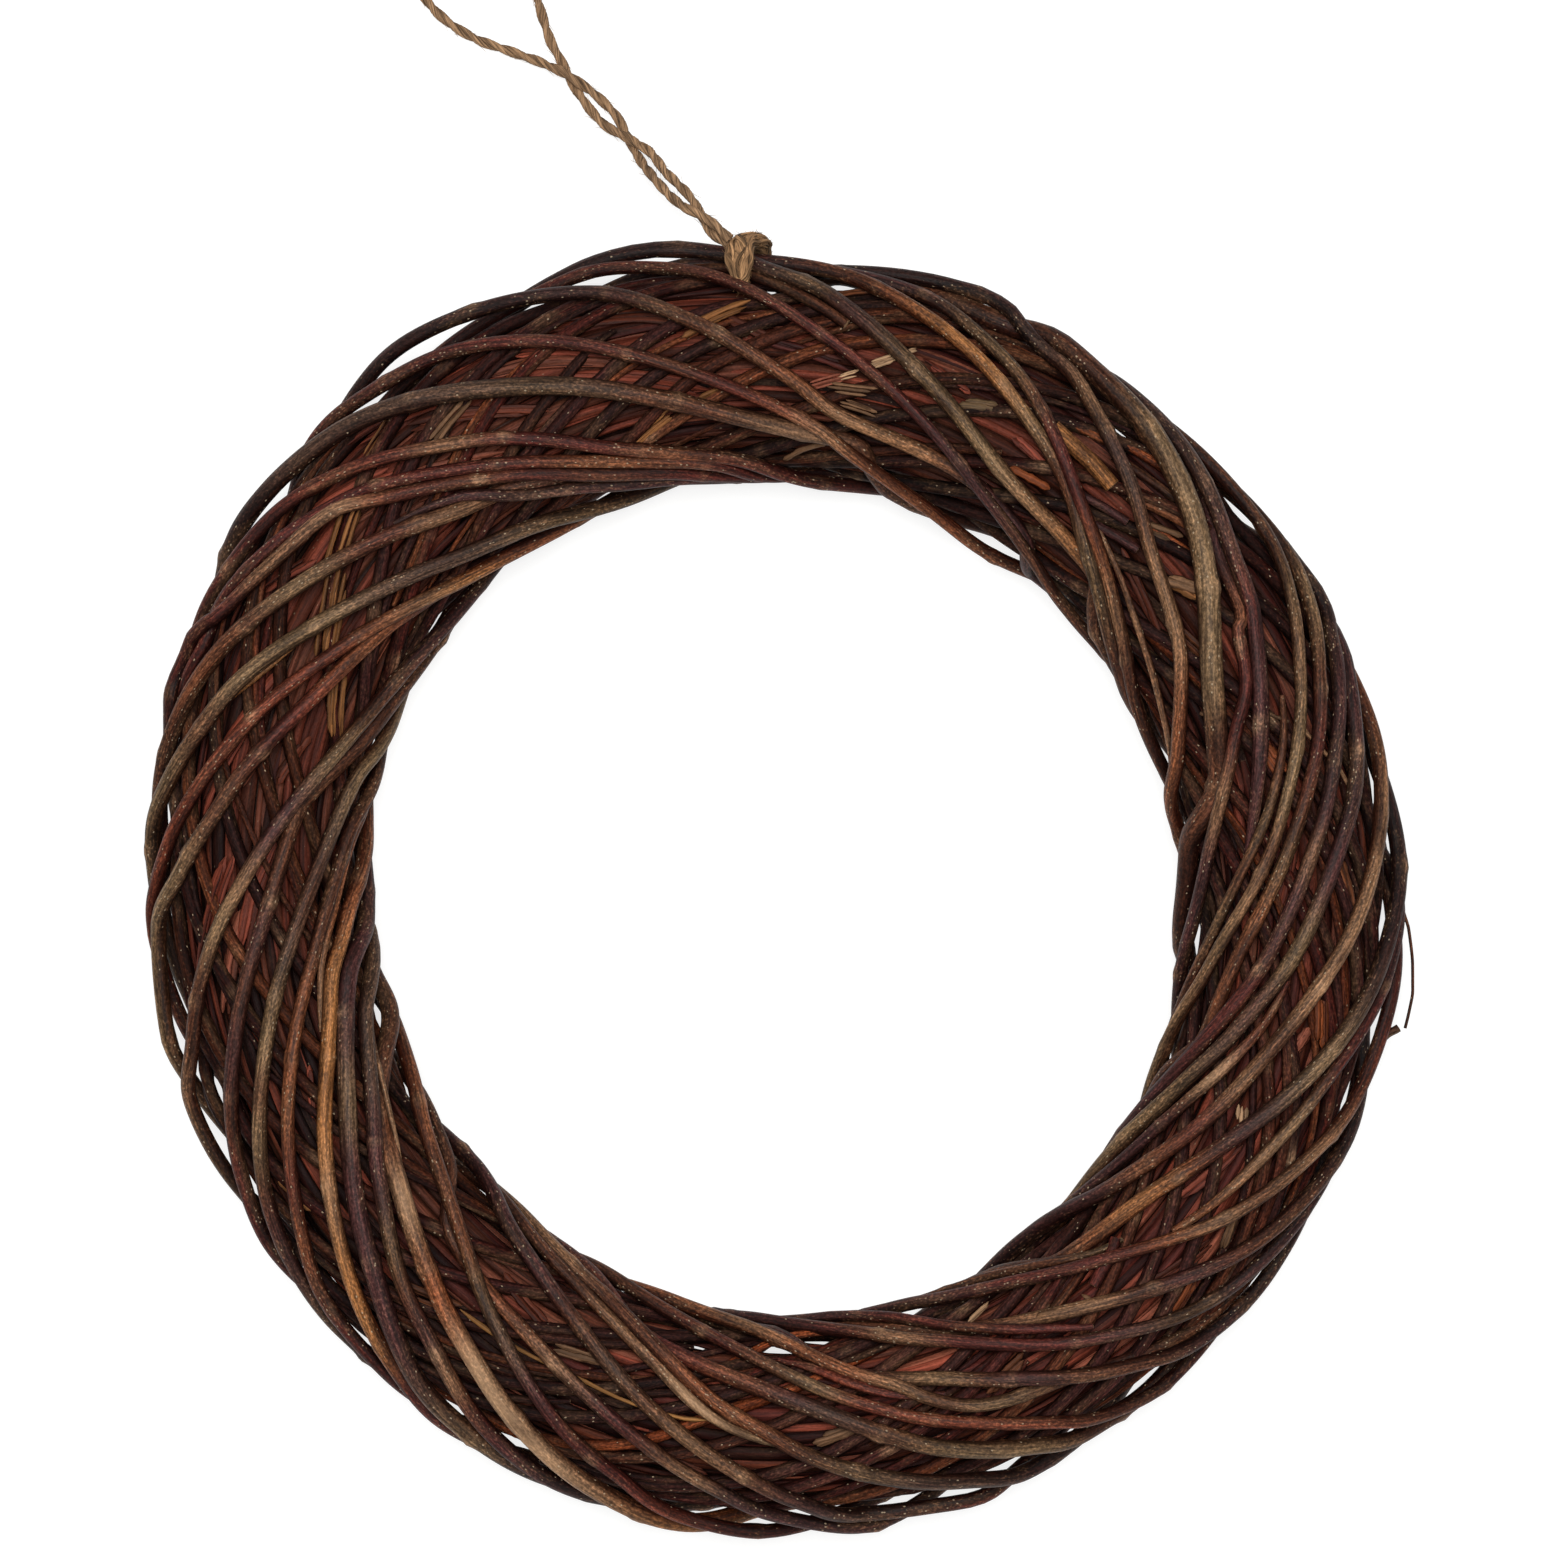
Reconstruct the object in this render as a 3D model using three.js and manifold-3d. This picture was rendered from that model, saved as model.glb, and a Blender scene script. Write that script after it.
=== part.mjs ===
// Wicker wreath lying on its back: a ring of fine twigs, two layers of rods wound round it in opposite
// directions, and a jute cord hitched to its top for hanging.
// Millimetres, +Z up. The origin is the middle of the ring on the surface that the wreath lies on.
// Angles round the ring are clock angles: degrees clockwise from the hitch at the top, which is +Y.
// Angles round the ring's own section are turns: 0 is the back, a quarter the outer rim, a half the front
// and three quarters the inner rim.
import * as THREE from "three";
import { mergeVertices } from "three/addons/utils/BufferGeometryUtils.js";
import Module from "manifold-3d";

// The ring
const RING_RADIUS = 164.9; // to the middle of its section
const SHIFT = { size: 2.2, towards: 227 }; // the ring isn't quite round: it leans one way,
const OVAL = { size: 3.6, towards: 329 }; // is longer one way than the other
const LOBES = { size: 1.3, towards: 316 }; // and is a little three-cornered
const FAT_SIDE = { size: 1.6, towards: 330 }; // its section is wider on one side
const FAT_LOBES = { size: 1.2, towards: 324 }; // and in three places

// The core of fine twigs that run round the ring
const CORE_HALF_WIDTH = 23.8;
const CORE_HALF_HEIGHT = 16.6;
const TWIG_RELIEF = 1.4;
const TWIG_RIDGES = 9;
const TWIG_TWIST = 2; // ridges that each twig moves on by in one circuit
const CORE_STEPS = 60;

// The lower layer of rods, wound towards the hole's side clockwise
const UNDER_CROSSINGS = 32; // times that this layer's rods cross the front
const UNDER_DIAMETER = 4.4;
const UNDER_SWAY = 1.6; // degrees that a crossing strays from its even place
const UNDER_SWAYS = 12; // times that it sways to and fro round the ring
const UNDER_STEPS_PER_TURN = 14;

// The outer layer: where each rod crosses the middle of the front, as [clock angle, rod diameter]
const FRONT_CROSSINGS = [
  [-1, 4.6], [11, 3.8], [18.5, 5.2], [32, 4.4], [42.5, 4.6], [54.5, 5.8], [65.5, 4.2], [76.5, 4.2],
  [83, 4.6], [90, 5], [98, 5], [107, 4.8], [119, 4.8], [133, 4.4], [142, 4.8], [150.5, 4.4],
  [159.5, 4.8], [165.2, 4.4], [170.8, 4.4], [176.6, 5.2], [186.5, 4.8], [195, 5], [206, 4.8], [213, 5],
  [221.5, 5.8], [228.5, 5], [235, 5.4], [241.5, 5.2], [249.5, 4.8], [256.5, 5], [265, 4.8], [272.5, 4.8],
  [286.5, 4.8], [293.5, 4.4], [301.5, 5.2], [311.5, 4.8], [320, 4.4], [327.5, 4.6], [342, 5.8], [351, 4.4],
];
const OUTER_STEPS_PER_TURN = 16;
const THICKEST = 5.8;

// Both layers follow closed curves, which come back to their start after a few circuits of the ring
const CURVE_CIRCUITS = 3;
const CURVE_TURNS = 8;
const CURVE_CUTS = [0, 3, 6, CURVE_TURNS]; // turns, all at the back, where each curve is cut into rods
const CUT_SHIFT = 3; // turns by which the next curve's cuts are moved on, so that ends lie apart

// All rods
const CORE_GAP = 1.3; // between the core's ridges and the lower rods, at their true round shape
const LAYER_GAP = 1.05; // and between the two layers of rods
const ROD_SIDES = 5;
const END_GAP = 0.012; // turns left open between a rod's end and the next rod on its curve
const END_TAPER = { share: 0.55, turns: 0.06 }; // a rod's end is thinner, over this length
const FLAT_SPOT = 0.5; // depth of the flats worn where the rods lie on the surface

// The jute cord's hitch: a strap of two wraps round the outer rim, and the knot beside it
const STRAP = { angle: 356.8, width: 7.4, thickness: 3.4, from: 0.19, to: 0.385, steps: 8, sides: 10 };
const KNOT = { angle: 358.4, turn: 0.3, diameter: 8.6, sides: 12 };
const STRAP_END = { share: 0.6, length: 0.1 }; // the strap's ends are thinner where they tuck in
const HITCH_SEAT = 4.9; // from the outer rods' seat to the underside of the hitch

// The jute cord: it leaves the hitch, drops to the surface, winds loosely round its own returning half,
// parts from it into a loop and comes back
const CORD_DIAMETER = 3.4;
const CORD_SIDES = 8;
const CORD_STEPS = 62;
const CORD_ROUTE = [
  [-15.1, 205.4, 37.6], [-19.6, 209.6, 36.8], [-24, 212.9, 35], [-28.8, 215.5, 32.1], [-32.8, 218.8, 26.8],
  [-39.5, 226.6, 17.4], [-44.4, 233.9, 7.7], [-48.3, 241.4, 2.2], [-51.6, 247.6, 2.2], [-56.4, 252.7, 2.9],
  [-61.9, 257.1, 4.6], [-67.3, 260.7, 6.2], [-72.6, 263.4, 4.8], [-78.8, 266.2, 2.6], [-87.5, 269.3, 1.9],
  [-97.5, 273, 1.9], [-109.4, 281.1, 1.9], [-118.5, 295, 1.9], [-121, 312, 1.9], [-115, 329, 1.9],
  [-102, 337, 1.9], [-90, 331, 1.9], [-84, 316, 1.9], [-80.6, 300, 1.9], [-77.2, 285.5, 1.9],
  [-72.8, 271.5, 1.9], [-69.4, 265.3, 1.9], [-67.3, 260.7, 1.9], [-63.9, 255.1, 1.9], [-59.8, 249.5, 1.9],
  [-54.9, 244.4, 3.6], [-48.5, 240.6, 6.6], [-41, 235.5, 11.9], [-35.9, 228.6, 19], [-29.2, 221.2, 27.2],
  [-26.2, 217.3, 29.1], [-24, 212.9, 30.7], [-19.9, 206.8, 32.2], [-15.2, 203.9, 33],
];

const BARK_BROWNS = [0x5a3527, 0x3d2722, 0x6f5437, 0x4a2a24, 0x8a6a40, 0x6b3122];
const TURN = 2 * Math.PI;
const wasm = await Module();
wasm.setup();

const radians = THREE.MathUtils.degToRad;
const wave = (lobes, angle, { size, towards }) => size * Math.cos(lobes * radians(angle - towards));

function ringRadiusAt(angle) {
  return RING_RADIUS + wave(1, angle, SHIFT) + wave(2, angle, OVAL) + wave(3, angle, LOBES);
}

function fatnessAt(angle) {
  return wave(1, angle, FAT_SIDE) + wave(3, angle, FAT_LOBES);
}

// Semi-axes of the section of the core's surface, and of the seat that each layer of rods lies on
const CORE_SURFACE = { width: CORE_HALF_WIDTH, height: CORE_HALF_HEIGHT };
const UNDER_SEAT = { width: CORE_HALF_WIDTH + CORE_GAP, height: CORE_HALF_HEIGHT + CORE_GAP };
const OUTER_SEAT = {
  width: UNDER_SEAT.width + UNDER_DIAMETER + LAYER_GAP,
  height: UNDER_SEAT.height + UNDER_DIAMETER + LAYER_GAP,
};
const MID_HEIGHT = OUTER_SEAT.height + THICKEST - FLAT_SPOT;

// The point at a clock angle and a turn of the section, `off` outwards from a layer's seat
function pointOnRing(angle, turn, seat, off) {
  const round = (turn - 0.25) * TURN;
  const radius = ringRadiusAt(angle) + (seat.width + fatnessAt(angle) + off) * Math.cos(round);
  const around = radians(angle);
  return new THREE.Vector3(
    radius * Math.sin(around),
    radius * Math.cos(around),
    MID_HEIGHT + (seat.height + off) * Math.sin(round),
  );
}

// A smooth value between those at whole numbers
function between(valueAt, x) {
  const n = Math.floor(x);
  const t = x - n;
  const [a, b, c, d] = [n - 1, n, n + 1, n + 2].map(valueAt);
  return b + 0.5 * t * (c - a + t * (2 * a - 5 * b + 4 * c - d + t * (3 * (b - c) + d - a)));
}

// A closed round rod: a lathed stick of unit radius, bent so that its axis follows the path, with its
// flat side towards the ring's section centre and one edge outwards. A flattened one is `wider` times as
// wide as it is thick.
function bentRod(pathAt, radiusAt, steps, sides, wider = 1) {
  const profile = [new THREE.Vector2(0, 0)];
  for (let i = 0; i <= steps; i++) profile.push(new THREE.Vector2(1, i));
  profile.push(new THREE.Vector2(0, steps));
  const stick = new THREE.LatheGeometry(profile, sides);
  stick.deleteAttribute("normal");
  stick.deleteAttribute("uv");
  const spot = stick.getAttribute("position");
  const frames = [];
  for (let i = 0; i <= steps; i++) {
    const { centre, outwards, along } = pathAt(i / steps);
    const out = outwards.clone().addScaledVector(along, -outwards.dot(along)).normalize();
    const side = new THREE.Vector3().crossVectors(along, out);
    frames.push({ centre, out, side, radius: radiusAt(i / steps) });
  }
  const v = new THREE.Vector3();
  for (let k = 0; k < spot.count; k++) {
    v.fromBufferAttribute(spot, k);
    const frame = frames[Math.round(v.y)];
    const bent = frame.centre.clone();
    bent.addScaledVector(frame.out, v.z * frame.radius);
    bent.addScaledVector(frame.side, v.x * frame.radius * wider);
    spot.setXYZ(k, bent.x, bent.y, bent.z);
  }
  return mergeVertices(stick, 1e-3);
}

function solidOf(geometry) {
  return new wasm.Manifold(
    new wasm.Mesh({
      numProp: 3,
      vertProperties: geometry.getAttribute("position").array,
      triVerts: new Uint32Array(geometry.getIndex().array),
    }),
  );
}

function geometryOf(solid) {
  const { vertProperties, triVerts } = solid.getMesh();
  return new THREE.BufferGeometry()
    .setAttribute("position", new THREE.BufferAttribute(vertProperties, 3))
    .setIndex(new THREE.BufferAttribute(triVerts, 1));
}

function plainSolid(geometry) {
  geometry.deleteAttribute("normal");
  geometry.deleteAttribute("uv");
  return solidOf(mergeVertices(geometry, 1e-4));
}

const wreath = new THREE.Group();

function addPiece(name, geometry, color, roughness) {
  const mesh = new THREE.Mesh(geometry, new THREE.MeshStandardMaterial({ color, roughness, metalness: 0 }));
  mesh.name = name;
  wreath.add(mesh);
}

// Path of a wound rod, from one turn of the section to another, for bentRod
function woundPath(angleAt, offAt, seat, from, to) {
  const at = (turn) => pointOnRing(angleAt(turn), turn, seat, offAt(turn));
  return (share) => {
    const turn = THREE.MathUtils.lerp(from, to, share);
    const centre = at(turn);
    const outwards = pointOnRing(angleAt(turn), turn, seat, offAt(turn) + 1).sub(centre);
    const along = at(turn + 0.01).sub(at(turn - 0.01)).normalize();
    return { centre, outwards, along };
  };
}

// Radius along a rod that is thinner towards both its ends
function taperedRadius(diameterAt, from, to) {
  return (share) => {
    const toEnd = Math.min(share, 1 - share) * (to - from);
    const taper = Math.min(1, END_TAPER.share + ((1 - END_TAPER.share) * toEnd) / END_TAPER.turns);
    return (diameterAt(THREE.MathUtils.lerp(from, to, share)) / 2) * taper;
  };
}

// The core: a ring with one ridge for each bundle of twigs, which winds slowly on as it runs round
function coreRing() {
  const points = TWIG_RIDGES * 2;
  const profile = [];
  for (let k = 0; k <= points; k++) profile.push(new THREE.Vector2(1, k));
  const ring = new THREE.LatheGeometry(profile, CORE_STEPS);
  const spot = ring.getAttribute("position");
  for (let k = 0; k < spot.count; k++) {
    const circuit = ring.getAttribute("uv").getX(k);
    const place = Math.round(spot.getY(k));
    const turn = -place / points + (circuit * TWIG_TWIST) / TWIG_RIDGES;
    const dip = place % 2 ? TWIG_RELIEF : 0;
    const p = pointOnRing(360 * circuit, turn, CORE_SURFACE, -dip);
    spot.setXYZ(k, p.x, p.y, p.z);
  }
  return geometryOf(plainSolid(ring));
}

// One layer of rods: crossingAt says where they cross the front and how thick they are there, hand is 1 or
// -1 for the way they wind, settleAt moves them outwards and trim cuts them
function windLayer(layer) {
  const { name, seat, hand, crossings, crossingAt, stepsPerTurn, settleAt, trim, bark, roughness } = layer;
  const labelsPerTurn = (hand * crossings * CURVE_CIRCUITS) / CURVE_TURNS;
  for (let curve = 0; curve < crossings / CURVE_TURNS; curve++) {
    const passing = (what) => (turn) =>
      between((n) => crossingAt(curve + labelsPerTurn * n)[what], turn - 0.5);
    const diameterAt = passing("diameter");
    const offAt = (turn) => diameterAt(turn) / 2 + settleAt(turn, diameterAt(turn));
    for (let cut = 1; cut < CURVE_CUTS.length; cut++) {
      const from = curve * CUT_SHIFT + CURVE_CUTS[cut - 1] + END_GAP;
      const to = curve * CUT_SHIFT + CURVE_CUTS[cut] - END_GAP;
      const path = woundPath(passing("angle"), offAt, seat, from, to);
      const steps = Math.round((to - from) * stepsPerTurn);
      const rod = bentRod(path, taperedRadius(diameterAt, from, to), steps, ROD_SIDES);
      const number = curve * (CURVE_CUTS.length - 1) + cut;
      const color = BARK_BROWNS[(number + bark) % BARK_BROWNS.length];
      addPiece(name + String(number).padStart(2, "0"), trim(rod), color, roughness);
    }
  }
}

function underCrossing(label) {
  const sway = UNDER_SWAY * Math.sin((TURN * UNDER_SWAYS * label) / UNDER_CROSSINGS);
  return { angle: (label * 360) / UNDER_CROSSINGS + sway, diameter: UNDER_DIAMETER };
}

function outerCrossing(label) {
  const count = FRONT_CROSSINGS.length;
  const circuit = Math.floor(label / count);
  const [angle, diameter] = FRONT_CROSSINGS[label - circuit * count];
  return { angle: angle + 360 * circuit, diameter };
}

// On its back the wreath has settled, so that every outer rod there reaches the surface
function settleOnBack(turn, diameter) {
  return Math.max(0, Math.cos(turn * TURN)) ** 3 * (THICKEST - diameter);
}

const belowSurface = plainSolid(new THREE.BoxGeometry(500, 500, 20).translate(0, 0, -10));

function wornFlat(rod) {
  return geometryOf(solidOf(rod).subtract(belowSurface));
}

// The hitch
function juteHitch() {
  const half = STRAP.thickness / 2;
  const path = woundPath(() => STRAP.angle, () => HITCH_SEAT + half, OUTER_SEAT, STRAP.from, STRAP.to);
  const radiusAt = (share) => {
    const toEnd = Math.min(share, 1 - share);
    return half * Math.min(1, STRAP_END.share + ((1 - STRAP_END.share) * toEnd) / STRAP_END.length);
  };
  const strap = solidOf(bentRod(path, radiusAt, STRAP.steps, STRAP.sides, STRAP.width / STRAP.thickness));
  const knotAt = pointOnRing(KNOT.angle, KNOT.turn, OUTER_SEAT, HITCH_SEAT + KNOT.diameter / 2);
  const ball = new THREE.SphereGeometry(KNOT.diameter / 2, KNOT.sides, KNOT.sides / 2);
  ball.translate(knotAt.x, knotAt.y, knotAt.z);
  return geometryOf(strap.add(plainSolid(ball)));
}

// The cord
function hangingCord() {
  const route = new THREE.CatmullRomCurve3(CORD_ROUTE.map(([x, y, z]) => new THREE.Vector3(x, y, z)));
  const section = new THREE.Shape().absarc(0, 0, CORD_DIAMETER / 2, 0, TURN);
  return new THREE.ExtrudeGeometry(section, {
    steps: CORD_STEPS,
    curveSegments: CORD_SIDES / 2,
    extrudePath: route,
  });
}

addPiece("core_ring", coreRing(), 0x7a3a26, 0.8);
windLayer({
  name: "under_rod_",
  seat: UNDER_SEAT,
  hand: -1,
  crossings: UNDER_CROSSINGS,
  crossingAt: underCrossing,
  stepsPerTurn: UNDER_STEPS_PER_TURN,
  settleAt: () => 0,
  trim: (rod) => rod,
  bark: 2,
  roughness: 0.75,
});
windLayer({
  name: "outer_rod_",
  seat: OUTER_SEAT,
  hand: 1,
  crossings: FRONT_CROSSINGS.length,
  crossingAt: outerCrossing,
  stepsPerTurn: OUTER_STEPS_PER_TURN,
  settleAt: settleOnBack,
  trim: wornFlat,
  bark: 0,
  roughness: 0.7,
});
addPiece("jute_hitch", juteHitch(), 0xa98a62, 0.95);
addPiece("hanging_cord", hangingCord(), 0xa98a62, 0.95);

export default wreath;
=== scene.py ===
import math

import bpy
import numpy as np
from mathutils.kdtree import KDTree
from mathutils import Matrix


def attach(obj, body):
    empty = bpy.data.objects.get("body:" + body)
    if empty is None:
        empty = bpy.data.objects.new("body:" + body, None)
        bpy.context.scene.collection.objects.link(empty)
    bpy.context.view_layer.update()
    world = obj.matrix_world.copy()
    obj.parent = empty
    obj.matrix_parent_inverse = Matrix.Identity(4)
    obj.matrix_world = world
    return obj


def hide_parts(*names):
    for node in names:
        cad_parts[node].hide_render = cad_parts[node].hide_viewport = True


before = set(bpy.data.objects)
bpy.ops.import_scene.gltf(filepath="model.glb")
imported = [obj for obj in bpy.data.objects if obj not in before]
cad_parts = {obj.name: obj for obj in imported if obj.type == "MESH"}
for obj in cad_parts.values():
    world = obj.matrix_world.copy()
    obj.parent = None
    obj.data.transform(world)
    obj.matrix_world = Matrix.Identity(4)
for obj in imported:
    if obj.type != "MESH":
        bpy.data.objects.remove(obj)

bl_info = {
    "name": "Wicker Wreath",
    "version": (1, 0, 0),
    "blender": (4, 5, 0),
    "location": "3D View > Sidebar > Wreath",
    "description": "Builds a wreath of bark-covered rods wound round fine twigs, with its jute hanging cord",
    "category": "Add Mesh",
}

# Lengths below are millimetres, and metres() turns them into the frame's unit.
# Angles round the ring are clock angles: degrees clockwise from the hitch at the top, which is +Y.
# Angles round the ring's own section are turns: 0 is the back, a quarter the outer rim, a half the front
# and three quarters the inner rim.

# The ring and its layers, as in the frame
RING_RADIUS = 164.9
SHIFT = (1, 2.2, 227)  # lobes, size and the angle towards which it is largest
OVAL = (2, 3.6, 329)
LOBES = (3, 1.3, 316)
FAT_SIDE = (1, 1.6, 330)
FAT_LOBES = (3, 1.2, 324)
CORE_SURFACE = (23.8, 16.6)  # half width and half height of the section
CORE_GAP = 1.3
UNDER_DIAMETER = 4.4
LAYER_GAP = 1.05
THICKEST = 5.8
FLAT_SPOT = 0.5
UNDER_SEAT = tuple(half + CORE_GAP for half in CORE_SURFACE)
OUTER_SEAT = tuple(half + UNDER_DIAMETER + LAYER_GAP for half in UNDER_SEAT)
MID_HEIGHT = OUTER_SEAT[1] + THICKEST - FLAT_SPOT
CURVE_CIRCUITS = 3
CURVE_TURNS = 8
CURVE_CUTS = (0, 3, 6, CURVE_TURNS)
CUT_SHIFT = 3
END_GAP = 0.012
END_TAPER = (0.55, 0.06)  # share of the radius left at an end, and turns over which it thins
UNDER_CROSSINGS = 32
UNDER_SWAY = (1.6, 12)  # degrees, and times that it sways to and fro round the ring

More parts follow.
